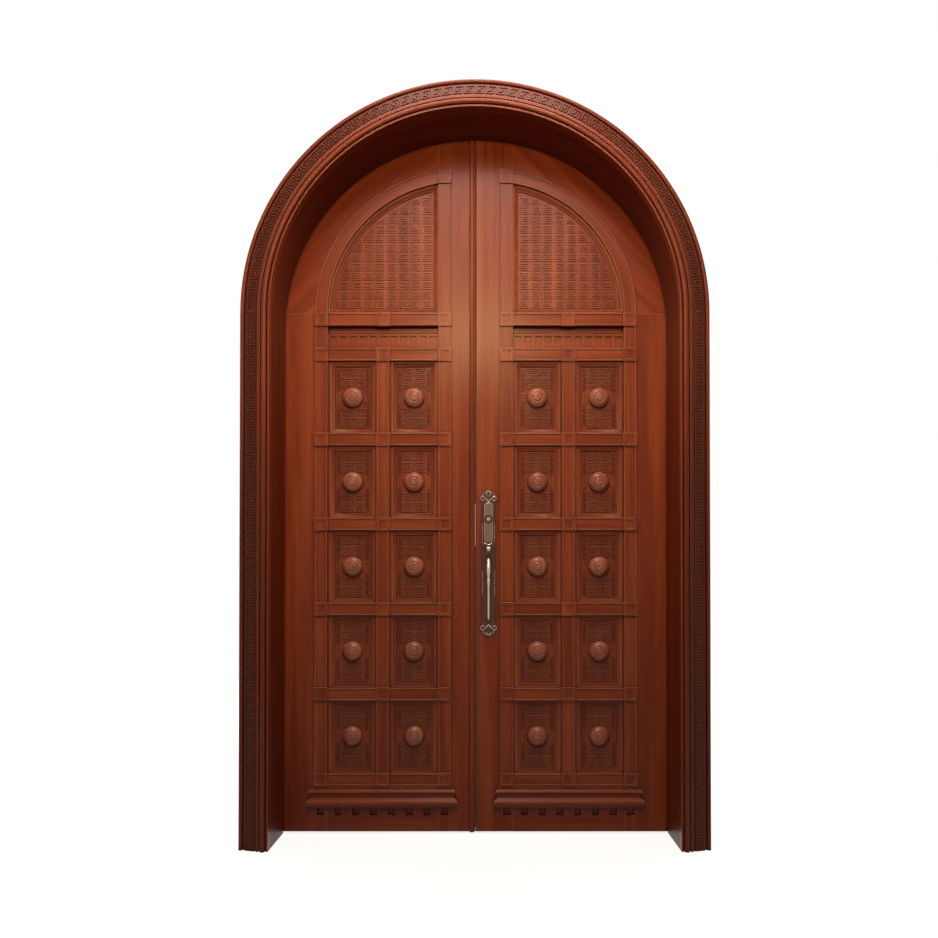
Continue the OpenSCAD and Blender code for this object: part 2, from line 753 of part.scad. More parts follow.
// Frieze: a fluted board under a small cornice
frieze_z0 = band_z[rows] + half_band;
frieze_z1 = band_z[rows + 1] - half_band;
frieze_face = 2;
cornice_step = 4;
cornice_quirk = frieze_face + 5;
cornice_lip = frieze_face + 2;
frieze_pitch_x = (stile_x - meeting_x) / flutes;
frieze_section = let (top = frieze_z1 - frieze_z0 - 2 * fit, cornice = frieze_board_h + cornice_step)
  [[panel_back, 0], [frieze_face, 0], [frieze_face, frieze_board_h], [cornice_quirk, frieze_board_h],
   [cornice_quirk, cornice], [cornice_lip, cornice], [cornice_lip, cornice + cornice_step],
   [panel_sink, cornice + cornice_step], [panel_sink, top], [panel_back, top]];
module flute() {
  slab(-overlap, flute_d) intersection() {
    translate([-flute_w / 2, 0]) square([flute_w, flute_h]);
    translate([0, flute_h - flute_w]) circle(flute_w);
  }
}
module frieze_panel() {
  color(wood) difference() {
    translate([meeting_x + fit, leaf_front, frieze_z0 + fit]) rotate([90, 0, 90])
      linear_extrude(stile_x - meeting_x - 2 * fit) polygon(frieze_section);
    for (i = [0:flutes - 1])
      translate([meeting_x + (i + 0.5) * frieze_pitch_x, leaf_front + frieze_face,
                 frieze_z0 + (frieze_board_h - flute_h) / 2])
        flute();
  }
}

// Arch panel: a quarter round in the same moulding, carved with rows of keys
module arch_panel_outline(inset) {
  intersection() {
    translate([arch_x, arch_base]) circle(arch_panel_r - inset, $fn = arc_fn);
    translate([meeting_x + inset, arch_base + inset]) square(leaf_r);
  }
}
module arch_coffer() {
  edge_profile = [for (p = coffer_profile) [p[0] + rim_z, p[1]]];
  far = concat([[leaf_r, panel_sink + overlap], [leaf_r, -overlap]], edge_profile);
  intersection() {
    translate([arch_x, leaf_front, arch_base]) rotate([90, 0, 0]) rotate_extrude($fn = arc_fn)
      polygon(concat([[0, -panel_sink - overlap], [0, overlap]],
                     [for (p = edge_profile) [arch_panel_r - p[0], -p[1]]]));
    translate([meeting_x, leaf_front, arch_base]) linear_extrude(leaf_r) polygon(far);
    translate([meeting_x, leaf_front, arch_base]) rotate([90, 0, 90]) linear_extrude(leaf_r)
      polygon([for (p = far) [p[1], p[0]]]);
  }
}
module arch_moulding() {
  color(wood) difference() {
    slab(leaf_front, leaf_front + panel_sink) arch_panel_outline(fit);
    arch_coffer();
  }
}
lattice_inset = rim_z + coffer_w + key_line;
key_half = [2 * fret_step + key_line / 2, 1.5 * fret_step + key_line / 2];
lattice = [for (c = [0:floor(arch_panel_r / lattice_x)], r = [0:floor(arch_panel_r / lattice_z)])
  let (x = meeting_x + lattice_inset + key_half[0] + c * lattice_x)
  let (z = arch_base + lattice_inset + key_half[1] + r * lattice_z)
  if (norm([x + key_half[0] - arch_x, z + key_half[1] - arch_base]) < arch_panel_r - lattice_inset)
    [x, z, (c + r) % 2]];
module arch_panel() {
  color(wood) {
    slab(leaf_front + panel_sink, leaf_front + panel_back) arch_panel_outline(fit);
    for (k = lattice) translate([k[0], leaf_front + panel_sink, k[1]])
      mirror([k[2], 0, 0]) fret(small_spiral);
  }
}

// Drip moulding with returned ends: its profile cut from the front and from the side
module drip_moulding() {
  depth = concat([[0, 0]], [for (p = drip_profile) [-p[1], p[0]]], [[0, drip_h]]);
  ends = concat([for (p = drip_profile) [drip_w / 2 - drip_t + p[1], p[0]]],
                [for (p = reversed(drip_profile)) [drip_t - p[1] - drip_w / 2, p[0]]]);
  color(wood) translate([upright_x[1], leaf_front, drip_bottom]) intersection() {
    translate([-drip_w, 0, 0]) rotate([90, 0, 90]) linear_extrude(2 * drip_w) polygon(depth);
    slab(-2 * drip_t, overlap) polygon(ends);
  }
}

module left_hinge_stile() mirrored() hinge_stile();
module right_hinge_stile() hinge_stile();
module left_arch_rail() mirrored() arch_rail();
module right_arch_rail() arch_rail();
module left_rails() mirrored() rails();
module right_rails() rails();
module left_bands() mirrored() bands();
module right_bands() bands();
module left_arch_band() mirrored() arch_band();
module right_arch_band() arch_band();
module left_blocks() mirrored() blocks();
module right_blocks() blocks();
module left_panel_mouldings() mirrored() panel_mouldings();
module right_panel_mouldings() panel_mouldings();
module left_carved_panels() mirrored() carved_panels();
module right_carved_panels() carved_panels();
module left_bosses() mirrored() bosses();
module right_bosses() bosses();
module left_frieze_panel() mirrored() frieze_panel();
module right_frieze_panel() frieze_panel();
module left_arch_moulding() mirrored() arch_moulding();
module right_arch_moulding() arch_moulding();
module left_arch_panel() mirrored() arch_panel();
module right_arch_panel() arch_panel();
module left_drip_moulding() mirrored() drip_moulding();
module right_drip_moulding() drip_moulding();

// Box from the leaf's meeting edge inward, centred on a depth and a height
module edge_box(x0, x1, wide, z0, z1) {
  translate([x0, leaf_mid - wide / 2, z0]) cube([x1 - x0, wide, z1 - z0]);
}
module bolt_box(size, x0, x1, z, gap) {
  edge_box(x0, x1, size[0] + 2 * gap, z - size[1] / 2 - gap, z + size[1] / 2 + gap);
}
module lock_face(gap) {
  edge_box(leaf_x - gap, leaf_x + lock_edge, lock_face_w + 2 * gap,
           lock_bottom - lock_face_margin - gap, lock_top + lock_face_margin + gap);
}
module lock_body(gap) {
  edge_box(leaf_x + lock_edge, lock_depth + gap, lock_t + 2 * gap, lock_bottom - gap, lock_top + gap);
}
module thumb_pocket(y0, y1) {
  translate([handle_x - thumb_room_w / 2, y0, latch_z - thumb_room_h / 2])
    cube([thumb_room_w, y1 - y0, thumb_room_h]);
}
// Round hole along Y at the handle, from depth y0 to depth y1
module handle_bore(r, z, y0, y1) {
  translate([handle_x, y1, z]) rotate([90, 0, 0]) cylinder(r = r, h = y1 - y0);
}
module right_meeting_stile() {
  color(wood) difference() {
    meeting_stile();
    lock_face(fit);
    lock_body(fit);
    thumb_pocket(leaf_front - overlap, leaf_mid);
    handle_bore(cylinder_r + fit, cylinder_z, leaf_front - overlap, leaf_mid);
    handle_bore(spindle_room, latch_z, leaf_mid, leaf_back + overlap);
    handle_bore(spindle_room, cylinder_z, leaf_mid, leaf_back + overlap);
  }
}
module lock_case() {
  color(steel) difference() {
    union() {
      lock_face(0);
      lock_body(0);
    }
    edge_box(leaf_x + lock_edge + lock_wall, lock_depth - lock_wall, lock_t - 2 * lock_wall,
             lock_bottom + lock_wall, lock_top - lock_wall);
    bolt_box(latch_size, 0, leaf_x + bolt_body_l, latch_z, fit);
    bolt_box(deadbolt_size, 0, leaf_x + bolt_body_l, cylinder_z, fit);
    thumb_pocket(leaf_mid - lock_t, leaf_mid);
    handle_bore(cylinder_r + fit, cylinder_z, leaf_mid - lock_t, leaf_mid);
    handle_bore(spindle_room, latch_z, leaf_mid, leaf_mid + lock_t);
    handle_bore(spindle_room, cylinder_z, leaf_mid, leaf_mid + lock_t);
  }
}
module latch_bolt() {
  x0 = leaf_x + fit;
  x1 = leaf_x + bolt_body_l;
  half = latch_size[0] / 2;
  color(steel) translate([0, leaf_mid, latch_z - latch_size[1] / 2]) linear_extrude(latch_size[1])
    polygon([[x0, half], [x1, half], [x1, -half], [x0 + latch_throw, -half], [x0, half - latch_nose]]);
}
module deadbolt() {
  color(steel) bolt_box(deadbolt_size, leaf_x + fit, leaf_x + bolt_body_l, cylinder_z, 0);
}

// Handle set, about the line where its back meets the leaf
module at_handle(z) {
  translate([handle_x, leaf_front, z]) children();
}
finial_r = 24;
palm_r = 12;
palm_drop = 15;
scroll_r = 11;
scroll_x = 22;
scroll_drop = finial_r + 8;
eye_r = 5;
leaf_rise = 3;
edge_rise = 2;
edge_w = 4;
field_gap = 24;
thumb_y = plate_t + 7;
thumb_pin_r = 2.5;
thumb_w = 13;
cheek_w = 8;
cheek_h = 20;
cheek_y = thumb_y + 6;
foot_t = 4;
foot_r = 14;
module disc(r, y0, y1) {
  translate([0, y1, 0]) rotate([90, 0, 0]) cylinder(r = r, h = y1 - y0);
}
// Ornament at an end of the plate: a rounded end with two scrolls and a palm leaf, each with its eye
module finial(z, up) {
  at_handle(z) {
    translate([0, 0, -up * finial_r]) disc(finial_r, -plate_t, 0);
    for (side = [-1, 1]) translate([side * scroll_x, 0, -up * scroll_drop]) {
      disc(scroll_r, -plate_t - edge_rise, 0);
      disc(eye_r, -plate_t - edge_rise - leaf_rise, 0);
    }
    translate([0, 0, -up * palm_drop]) {
      disc(palm_r, -plate_t - leaf_rise, 0);
      disc(eye_r, -plate_t - 2 * leaf_rise, 0);
    }
  }
}
module handle_plate() {
  body_z0 = handle_bottom + finial_r;
  body_z1 = handle_top - finial_r;
  edge_z0 = handle_bottom + finial_r + scroll_drop;
  edge_z1 = handle_top - finial_r - scroll_drop;
  field_z0 = latch_z + field_gap;
  field_z1 = body_z1 - finial_r - field_w / 2;
  color(bronze) difference() {
    union() {
      at_handle(body_z0) translate([-plate_w / 2, -plate_t, 0]) cube([plate_w, plate_t, body_z1 - body_z0]);
      for (side = [-1, 1]) at_handle(edge_z0)
        translate([side * (plate_w / 2 - edge_w) - edge_w / 2, -plate_t - edge_rise, 0])
          cube([edge_w, plate_t + edge_rise, edge_z1 - edge_z0]);
      at_handle(0) slab(-plate_t - field_t, 0) {
        translate([-field_w / 2, field_z0]) square([field_w, field_z1 - field_z0]);
        translate([0, field_z1]) circle(field_w / 2);
      }
      finial(handle_top, 1);
      finial(handle_bottom, -1);
      for (z = [grip_z - grip_h / 2, grip_z + grip_h / 2]) at_handle(z) disc(foot_r, -plate_t - foot_t, 0);
      for (side = [-1, 1]) at_handle(latch_z)
        translate([side * (thumb_w + cheek_w + 2 * fit) / 2 - cheek_w / 2, -cheek_y, -cheek_h / 2])
          cube([cheek_w, cheek_y, cheek_h]);
    }
    at_handle(cylinder_z) disc(cylinder_r + fit, -plate_t - field_t - overlap, overlap);
    at_handle(latch_z) translate([-thumb_w / 2 - fit, -thumb_y, -thumb_room_h / 2])
      cube([thumb_w + 2 * fit, 2 * thumb_y, thumb_room_h]);
    at_handle(latch_z) translate([-thumb_w - cheek_w, -thumb_y, 0]) rotate([0, 90, 0])
      cylinder(r = thumb_pin_r + running_fit, h = 2 * (thumb_w + cheek_w));
  }
}

// Grip: a broad upper part, a ring, a slender stem and a swelling foot, swept along a rounded bow
grip_rings = 36;
grip_sides = 16;
bow_fullness = 0.55;
bow_step = 0.01;
broad_end = 0.34;
ring_at = 0.42;
ring_half = 0.035;
ring_r = 9;
stem_end = 0.72;
foot_swell_r = 8.5;
function bow(t) =
  [-plate_t - foot_t - grip_out * pow(sin(180 * t), bow_fullness), grip_z + grip_h / 2 * cos(180 * t)];
function ease(t0, t1, t) = let (s = min(max((t - t0) / (t1 - t0), 0), 1)) s * s * (3 - 2 * s);
function ring_share(t) = max(0, 1 - pow((t - ring_at) / ring_half, 2));
function grip_radius(t) =
  grip_r + (stem_r - grip_r) * ease(broad_end - ring_half, broad_end + ring_half, t)
  + (ring_r - stem_r) * ring_share(t) + (foot_swell_r - stem_r) * ease(stem_end, 1, t);
function grip_ring(t) =
  let (along = t <= 0 ? [-1, 0] : t >= 1 ? [1, 0]
               : unit(bow(min(t + bow_step, 1)) - bow(max(t - bow_step, 0))))
  [for (s = [0:grip_sides - 1]) let (a = 360 * s / grip_sides, r = grip_radius(t))
    [handle_x + r * cos(a), leaf_front + bow(t)[0] - r * sin(a) * along[1],
     bow(t)[1] + r * sin(a) * along[0]]];
module grip() {
  rings = [for (i = [0:grip_rings]) each grip_ring(i / grip_rings)];
  sides = [for (i = [0:grip_rings - 1], s = [0:grip_sides - 1])
    let (n = (s + 1) % grip_sides)
    [i * grip_sides + s, i * grip_sides + n, (i + 1) * grip_sides + n, (i + 1) * grip_sides + s]];
  ends = [[for (s = [grip_sides - 1:-1:0]) s], [for (s = [0:grip_sides - 1]) grip_rings * grip_sides + s]];
  color(bronze) polyhedron(rings, concat(sides, ends));
}
module thumb_piece() {
  paddle_r = 12;
  paddle_t = 4;
  barrel_r = 5;
  tail_w = 6;
  tail_l = thumb_y + leaf_mid - leaf_front - spindle_start;
  color(bronze) at_handle(latch_z) translate([0, -thumb_y, 0]) rotate([thumb_tilt, 0, 0]) {
    translate([-thumb_w / 2 - cheek_w, 0, 0]) rotate([0, 90, 0])
      cylinder(r = thumb_pin_r, h = thumb_w + 2 * cheek_w);
    translate([-thumb_w / 2, 0, 0]) rotate([0, 90, 0]) cylinder(r = barrel_r, h = thumb_w);
    translate([-thumb_w / 2, -thumb_l + paddle_r, -paddle_t / 2])
      cube([thumb_w, thumb_l - paddle_r, paddle_t]);
    translate([0, paddle_r - thumb_l, -paddle_t / 2]) cylinder(r = paddle_r, h = paddle_t);
    translate([-tail_w / 2, 0, -paddle_t / 2]) cube([tail_w, tail_l, paddle_t]);
  }
}

// Key cylinder with its collar on the plate, and the plug that turns in it
collar = 3;
plug_proud = 1;
key_slot = [2, 8];
cylinder_end = leaf_mid - leaf_front - lock_t / 2 + lock_wall;
module key_cylinder() {
  face = plate_t + field_t;
  color(bronze) at_handle(cylinder_z) difference() {
    union() {
      disc(cylinder_r, -face - collar, cylinder_end);
      disc(cylinder_r + collar, -face - collar, -face);
    }
    disc(plug_r + running_fit, -face - collar - overlap, cylinder_end + overlap);
  }
}
module key_plug() {
  front_y = -plate_t - field_t - collar - plug_proud;
  color(steel) at_handle(cylinder_z) difference() {
    disc(plug_r, front_y, cylinder_end);
    translate([-key_slot[0] / 2, front_y - overlap, -key_slot[1] / 2])
      cube([key_slot[0], cylinder_end, key_slot[1]]);
  }
}

// Inner plate with the knob and the thumbturn, whose spindles reach into the lock case
inner_plate_r = 28;
plate_below = 60;
plate_above = 50;
turn_shank_r = 8;
turn_shank_l = 6;
turn_r = 15;
turn_t = 8;
module inner_plate() {
  z0 = latch_z - plate_below;
  z1 = cylinder_z + plate_above;
  color(bronze) difference() {
    translate([handle_x, 0, 0]) slab(leaf_back, inner_face) {
      translate([-inner_plate_r, z0]) square([2 * inner_plate_r, z1 - z0]);
      for (z = [z0, z1]) translate([0, z]) circle(inner_plate_r);
    }
    handle_bore(knob_shank_r + running_fit, latch_z, leaf_back - overlap, inner_face + overlap);
    handle_bore(turn_shank_r + running_fit, cylinder_z, leaf_back - overlap, inner_face + overlap);
  }
}
module inner_knob() {
  color(bronze) translate([handle_x, 0, latch_z]) {
    rotate([-90, 0, 0]) rotate_extrude() polygon(knob_profile);
    translate([-spindle_w / 2, leaf_mid + spindle_start, -spindle_w / 2])
      cube([spindle_w, leaf_back - leaf_mid, spindle_w]);
  }
}
module thumbturn() {
  color(bronze) {
    handle_bore(turn_shank_r, cylinder_z, shank_start, inner_face + turn_shank_l);
    handle_bore(spindle_w / 2, cylinder_z, leaf_mid + spindle_start, inner_face);
    translate([handle_x - turn_t / 2, inner_face + turn_r + overlap, cylinder_z]) rotate([0, 90, 0])
      cylinder(r = turn_r, h = turn_t);
  }
}

// Left leaf's own pieces, drawn as for the right leaf and mirrored
module astragal() {
  top = spring_z + sqrt(pow(opening_r - edge_gap, 2) - pow(leaf_x + astragal_inset + astragal_w, 2));
  r = astragal_w / 2;
  color(wood) mirrored() translate([leaf_x + astragal_inset, leaf_front, floor_gap])
    linear_extrude(top - floor_gap)
      polygon(concat([[0, 0]], front(arc([r, astragal_t - r], r, 180, 0, 12)), [[astragal_w, 0]]));
}
module bolt_tab_slot(z, gap) {
  edge_box(leaf_x - gap, bolt_x, tab_w + 2 * gap, z - tab_h / 2 - gap, z + tab_h / 2 + bolt_throw + gap);
}
top_tab_z = bolt_top - bolt_l + tab_back;
bottom_tab_z = bolt_bottom + bolt_l - tab_back - bolt_throw;
bolt_plate_z = [bottom_tab_z + bolt_throw / 2, top_tab_z + bolt_throw / 2];
module bolt_plates(gap) {
  for (z = bolt_plate_z)
    edge_box(leaf_x - gap, leaf_x + lock_edge, bolt_plate_w + 2 * gap,
             z - bolt_plate_h / 2 - gap, z + bolt_plate_h / 2 + gap);
}
module left_meeting_stile() {
  color(wood) mirrored() difference() {
    meeting_stile();
    lock_face(fit);
    bolt_box(latch_size, 0, leaf_x + latch_throw + keep_end, latch_z, 2 * strike_room);
    bolt_box(deadbolt_size, 0, leaf_x + deadbolt_throw + keep_end, cylinder_z, 2 * strike_room);
    bolt_plates(fit);
    bolt_tab_slot(top_tab_z, pass_gap);
    bolt_tab_slot(bottom_tab_z, pass_gap);
    translate([bolt_x, leaf_mid, bolt_top - bolt_l - bolt_bore_end])
      cylinder(r = bolt_bore_r, h = bolt_l + bolt_bore_end + rebate);
    translate([bolt_x, leaf_mid, 0]) cylinder(r = bolt_bore_r, h = bolt_bottom + bolt_l + bolt_bore_end);
  }
}
module strike_plate() {
  color(steel) mirrored() difference() {
    lock_face(0);
    bolt_box(latch_size, 0, leaf_x + 2 * lock_edge, latch_z, strike_room);
    bolt_box(deadbolt_size, 0, leaf_x + 2 * lock_edge, cylinder_z, strike_room);
  }
}
module flush_bolt_plates() {
  color(bronze) mirrored() difference() {
    bolt_plates(0);
    bolt_tab_slot(top_tab_z, pass_gap);
    bolt_tab_slot(bottom_tab_z, pass_gap);
  }
}
module flush_bolt(z0, tab_z) {
  color(steel) mirrored() {
    translate([bolt_x, leaf_mid, z0]) cylinder(r = bolt_r, h = bolt_l);
    edge_box(leaf_x + fit, bolt_x, tab_w, tab_z - tab_h / 2, tab_z + tab_h / 2);
  }
}
module flush_bolt_top() flush_bolt(bolt_top - bolt_l, top_tab_z);
module flush_bolt_bottom() flush_bolt(bolt_bottom, bottom_tab_z + bolt_throw);

casing_left();
casing_right();
casing_arch();
fret_strip_left();
fret_strip_right();
fret_strip_arch();
jamb_left();
jamb_right();
jamb_arch();
weather_seal();
left_frame_hinges();
right_frame_hinges();
left_hinge_pins();
right_hinge_pins();
left_hinge_stile();
left_meeting_stile();
left_arch_rail();
left_rails();
left_bands();
left_arch_band();
left_blocks();
left_panel_mouldings();
left_carved_panels();
left_bosses();
left_frieze_panel();
left_arch_moulding();
left_arch_panel();
left_drip_moulding();
left_leaf_hinges();
astragal();
strike_plate();
flush_bolt_plates();
flush_bolt_top();
flush_bolt_bottom();
right_hinge_stile();
right_meeting_stile();
right_arch_rail();
right_rails();
right_bands();
right_arch_band();
right_blocks();
right_panel_mouldings();
right_carved_panels();
right_bosses();
right_frieze_panel();
right_arch_moulding();
right_arch_panel();
right_drip_moulding();
right_leaf_hinges();
handle_plate();
grip();
thumb_piece();
key_cylinder();
key_plug();
lock_case();
latch_bolt();
deadbolt();
inner_plate();
inner_knob();
thumbturn();
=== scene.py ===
import itertools
import json
import math
import random

import bmesh
import bpy
import numpy as np
from mathutils import Matrix, Vector

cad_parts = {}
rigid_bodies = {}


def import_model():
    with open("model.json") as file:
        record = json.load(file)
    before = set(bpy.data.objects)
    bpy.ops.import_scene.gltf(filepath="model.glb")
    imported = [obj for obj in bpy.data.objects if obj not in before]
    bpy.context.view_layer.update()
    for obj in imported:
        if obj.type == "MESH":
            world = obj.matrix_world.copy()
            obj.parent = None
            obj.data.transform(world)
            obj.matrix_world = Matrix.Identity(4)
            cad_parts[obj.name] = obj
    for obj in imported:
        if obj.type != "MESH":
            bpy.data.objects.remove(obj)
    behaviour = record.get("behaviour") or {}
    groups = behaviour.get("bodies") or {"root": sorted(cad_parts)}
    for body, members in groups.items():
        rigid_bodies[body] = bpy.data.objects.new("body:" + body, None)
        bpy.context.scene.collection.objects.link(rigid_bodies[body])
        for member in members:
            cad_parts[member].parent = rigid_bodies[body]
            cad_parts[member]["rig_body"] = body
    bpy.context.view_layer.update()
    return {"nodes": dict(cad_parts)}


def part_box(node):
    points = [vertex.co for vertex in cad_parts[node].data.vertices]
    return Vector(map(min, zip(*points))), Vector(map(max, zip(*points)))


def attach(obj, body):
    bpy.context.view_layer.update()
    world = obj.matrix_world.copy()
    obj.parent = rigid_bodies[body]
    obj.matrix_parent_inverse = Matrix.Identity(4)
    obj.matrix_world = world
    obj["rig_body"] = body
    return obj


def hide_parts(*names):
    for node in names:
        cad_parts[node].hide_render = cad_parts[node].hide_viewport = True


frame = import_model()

# Looks of a carved double front door: lacquered mahogany with worked grain, turned and carved bosses,
# an antique bronze handle set and the studio it stands in. Metres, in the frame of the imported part.

MM = 0.001

# Places taken from the frame, and how far the middle of a leaf's arch is from the middle of the door
arch_x = 63 * MM
spring_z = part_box("casing_right")[1].z
leaf_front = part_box("right_rails")[0].y
arch_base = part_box("right_arch_rail")[0].z
plate_low, plate_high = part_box("handle_plate")
handle_x = (plate_low.x + plate_high.x) / 2


# Small helpers

def linear(hex_colour):
    """An sRGB hex colour as linear red, green, blue and alpha."""
    parts = [int(hex_colour[i:i + 2], 16) / 255 for i in (1, 3, 5)]
    return [p / 12.92 if p <= 0.04045 else ((p + 0.055) / 1.055) ** 2.4 for p in parts] + [1.0]


def add(tree, kind, values=None, links=None, **settings):
    """Adds a node with its settings, its socket values and its links."""
    made = tree.nodes.new(kind)
    for name, value in settings.items():
        setattr(made, name, value)
    for socket, value in (values or {}).items():
        made.inputs[socket].default_value = value
    for socket, source in (links or {}).items():
        tree.links.new(source, made.inputs[socket])
    return made


def shader(name):
    """A new material: its node tree and its Principled shader."""
    material = bpy.data.materials.new(name)
    material.use_nodes = True
    return material, material.node_tree, material.node_tree.nodes["Principled BSDF"]


# Wood

# Patterns of mahogany: length along the grain and width across it in millimetres, detail, distortion.
# Real pores are about 0.3 mm wide, drawn coarser so that they show.
GRAIN = {
    "figure": (1100, 52, 2.0, 0.9),
    "lines": (190, 3.6, 3.0, 0.2),
    "pores": (22, 1.3, 1.0, 0.0),
}
# Places of the darkest, middle and palest stain on the ramp that the patterns drive
STAIN_STOPS = (0.28, 0.5, 0.72)
# Shares in the colour: a board's own tone, the fine lines, the dark of a pore and the painted highlight of a
# rounded arris
BOARD_TONE, LINE_SHARE, PORE_SHARE, ARRIS_HIGHLIGHT_SHARE = 0.05, 0.36, 0.35, 0.6
# Reach of the painted shade out of a corner, in part a dark glaze, in millimetres: on a planed board,
# between carved lines, on a carved ground and in the mouldings of the sunk panels
PLANED_REACH, CARVED_REACH, GROUND_REACH, SUNK_REACH = 15, 4, 6, 40


def mahogany(name, deep, body, pale, arris_highlight, pore_and_shade, roughness, specular, reach=PLANED_REACH):
    """Mahogany, planed and carved, stained red and sprayed with a satin lacquer: the eye gets long soft bands
    of figure, fine dark lines, short pores, a painted highlight on the rounded arrises, painted shade
    darkening every corner and recess, in part a dark glaze, and a soft gloss."""
    material, tree, surface = shader(name)
    grain = add(tree, "ShaderNodeAttribute", attribute_name="grain").outputs["Vector"]
    tone = add(tree, "ShaderNodeAttribute", attribute_name="tone").outputs["Fac"]
    noise = {}
    for pattern, (length, width, detail, distortion) in GRAIN.items():
        place = add(tree, "ShaderNodeVectorMath", {1: (1 / length, 1 / width, 1 / width)}, {0: grain},
                    operation="MULTIPLY").outputs[0]
        settings = {"Scale": 1.0, "Detail": detail, "Distortion": distortion}
        noise[pattern] = add(tree, "ShaderNodeTexNoise", settings, {"Vector": place}).outputs["Fac"]
    pore = add(tree, "ShaderNodeMapRange", {"From Min": 0.60, "From Max": 0.70},
               {"Value": noise["pores"]}).outputs[0]
    toned = add(tree, "ShaderNodeMath", {1: BOARD_TONE}, {0: tone, 2: noise["figure"]},
                operation="MULTIPLY_ADD").outputs[0]
    mixed = add(tree, "ShaderNodeMix", {"Factor": LINE_SHARE}, {2: toned, 3: noise["lines"]}).outputs[0]
    stain = add(tree, "ShaderNodeValToRGB", links={"Fac": mixed})
    stain.color_ramp.elements.new(STAIN_STOPS[1])
    for element, place, colour in zip(stain.color_ramp.elements, STAIN_STOPS, (deep, body, pale)):
        element.position = place
        element.color = linear(colour)
    pitted = add(tree, "ShaderNodeMath", {1: PORE_SHARE}, {0: pore}, operation="MULTIPLY").outputs[0]
    colour = add(tree, "ShaderNodeMix", {7: linear(pore_and_shade)}, {"Factor": pitted, 6: stain.outputs["Color"]},
                 data_type="RGBA").outputs[2]
    # Painted highlight: the rounded arrises are made paler, standing in for the light that their edges catch
    arris = add(tree, "ShaderNodeAttribute", attribute_name="arris").outputs["Fac"]
    worn = add(tree, "ShaderNodeMath", {1: ARRIS_HIGHLIGHT_SHARE}, {0: arris}, operation="MULTIPLY").outputs[0]
    colour = add(tree, "ShaderNodeMix", {7: linear(arris_highlight)}, {"Factor": worn, 6: colour},
                 data_type="RGBA").outputs[2]
    # Painted shade: ambient occlusion darkens every corner and recess towards the dark colour, in part a dark
    # glaze
    hollow = add(tree, "ShaderNodeAmbientOcclusion", {"Distance": reach * MM}, samples=8).outputs["AO"]
    corner_shade = add(tree, "ShaderNodeMapRange", {"From Min": 0.3, "From Max": 0.9, "To Min": 0.95, "To Max": 0.0},
                {"Value": hollow}).outputs[0]
    colour = add(tree, "ShaderNodeMix", {7: linear(pore_and_shade)}, {"Factor": corner_shade, 6: colour},
                 data_type="RGBA").outputs[2]
    gloss = add(tree, "ShaderNodeMapRange", {"To Min": roughness - 0.06, "To Max": roughness + 0.08},
                {"Value": noise["lines"]}).outputs[0]
    relief = add(tree, "ShaderNodeMath", {1: -0.6}, {0: pore, 2: noise["lines"]},
                 operation="MULTIPLY_ADD").outputs[0]
    bump = add(tree, "ShaderNodeBump", {"Strength": 0.3, "Distance": 0.2 * MM},
               {"Height": relief}).outputs[0]
    surface.inputs["IOR"].default_value = 1.5
    surface.inputs["Specular IOR Level"].default_value = specular
    tree.links.new(colour, surface.inputs["Base Color"])
    tree.links.new(gloss, surface.inputs["Roughness"])
    tree.links.new(bump, surface.inputs["Normal"])
    return material


# Woods of the door: darkest, middle and palest stain, painted highlight of the arrises, dark of the pores and
# of the painted corner shade, roughness and specular level, which is low because the studio is white in every
# reflection
leaf_wood = mahogany("leaf_mahogany", "#642410", "#7c3519", "#934726", "#bd7a58", "#230802", 0.30, 0.12)
# Painted light: the arch rails take a slightly paler copy of the leaf wood, to lighten them where the soffit
# shades them
rail_wood = mahogany("arch_rail_mahogany", "#682511", "#82371a", "#984927", "#b87452", "#240802", 0.30, 0.12)
# Painted shade and light: the carved panels take a darker copy of the wood for the shade of their deep
# recesses, the arch panels a paler copy for the light at the top
carved_wood = mahogany("carved_mahogany", "#5e2411", "#75341b", "#8b4528", "#b06e4f", "#260a04", 0.30, 0.12,
                       GROUND_REACH)
arch_wood = mahogany("arch_panel_mahogany", "#682914", "#80381d", "#974c2c", "#b87554", "#2a0b04", 0.30, 0.12,
                     CARVED_REACH)
# Painted shade: the mouldings take a darker copy of the leaf wood whose corner shade reaches 40 mm, so that
# the sunk panels read deeper
moulding_wood = mahogany("moulding_mahogany", "#5c200e", "#743017", "#8a4223", "#bd7a58", "#1c0602",
                         0.30, 0.12, SUNK_REACH)
casing_wood = mahogany("casing_mahogany", "#5a210e", "#702d15", "#843b20", "#a8694b", "#1e0602", 0.30, 0.12)
fret_wood = mahogany("fret_mahogany", "#46180a", "#592311", "#6c301b", "#946048", "#160402", 0.32, 0.11,
                     CARVED_REACH)
# Painted shade: the jambs and the soffit take a darker wood so that they stay as dark as a reveal in shade
jamb_wood = mahogany("jamb_mahogany", "#4a1607", "#5e200c", "#702c14", "#7c3a20", "#160401", 0.36, 0.10)
# Painted sheen: the bosses take a paler, pinker wood than the leaves, standing in for the lacquer's
# reflection on the domes as well as their own tone
boss_wood = mahogany("turned_mahogany", "#733b29", "#8c4e38", "#a2644b", "#b07a62", "#220a04", 0.28, 0.22,
                     CARVED_REACH)


# Boards from the solids

# Points closer than this are one point
WELD = 0.004 * MM
# Angles between faces: below the first they are one face, above the second their edge is an arris that is
# rounded, and above the third it stays crisp
FLAT = math.radians(0.15)
SHARP = math.radians(28)
CREASE = math.radians(52)


def mesh_of(work, name):
    """The finished mesh of a piece of work."""
    mesh = bpy.data.meshes.new(name)
    work.to_mesh(mesh)
    work.free()
    return mesh


def skin(work, rings):
    """Joins rings of points one after another and closes both ends."""
    for first, second in zip(rings, rings[1:]):
        for k in range(len(first)):
            n = (k + 1) % len(first)
            work.faces.new((first[k], second[k], second[n], first[n]))
    work.faces.new(rings[0])
    work.faces.new(rings[-1])


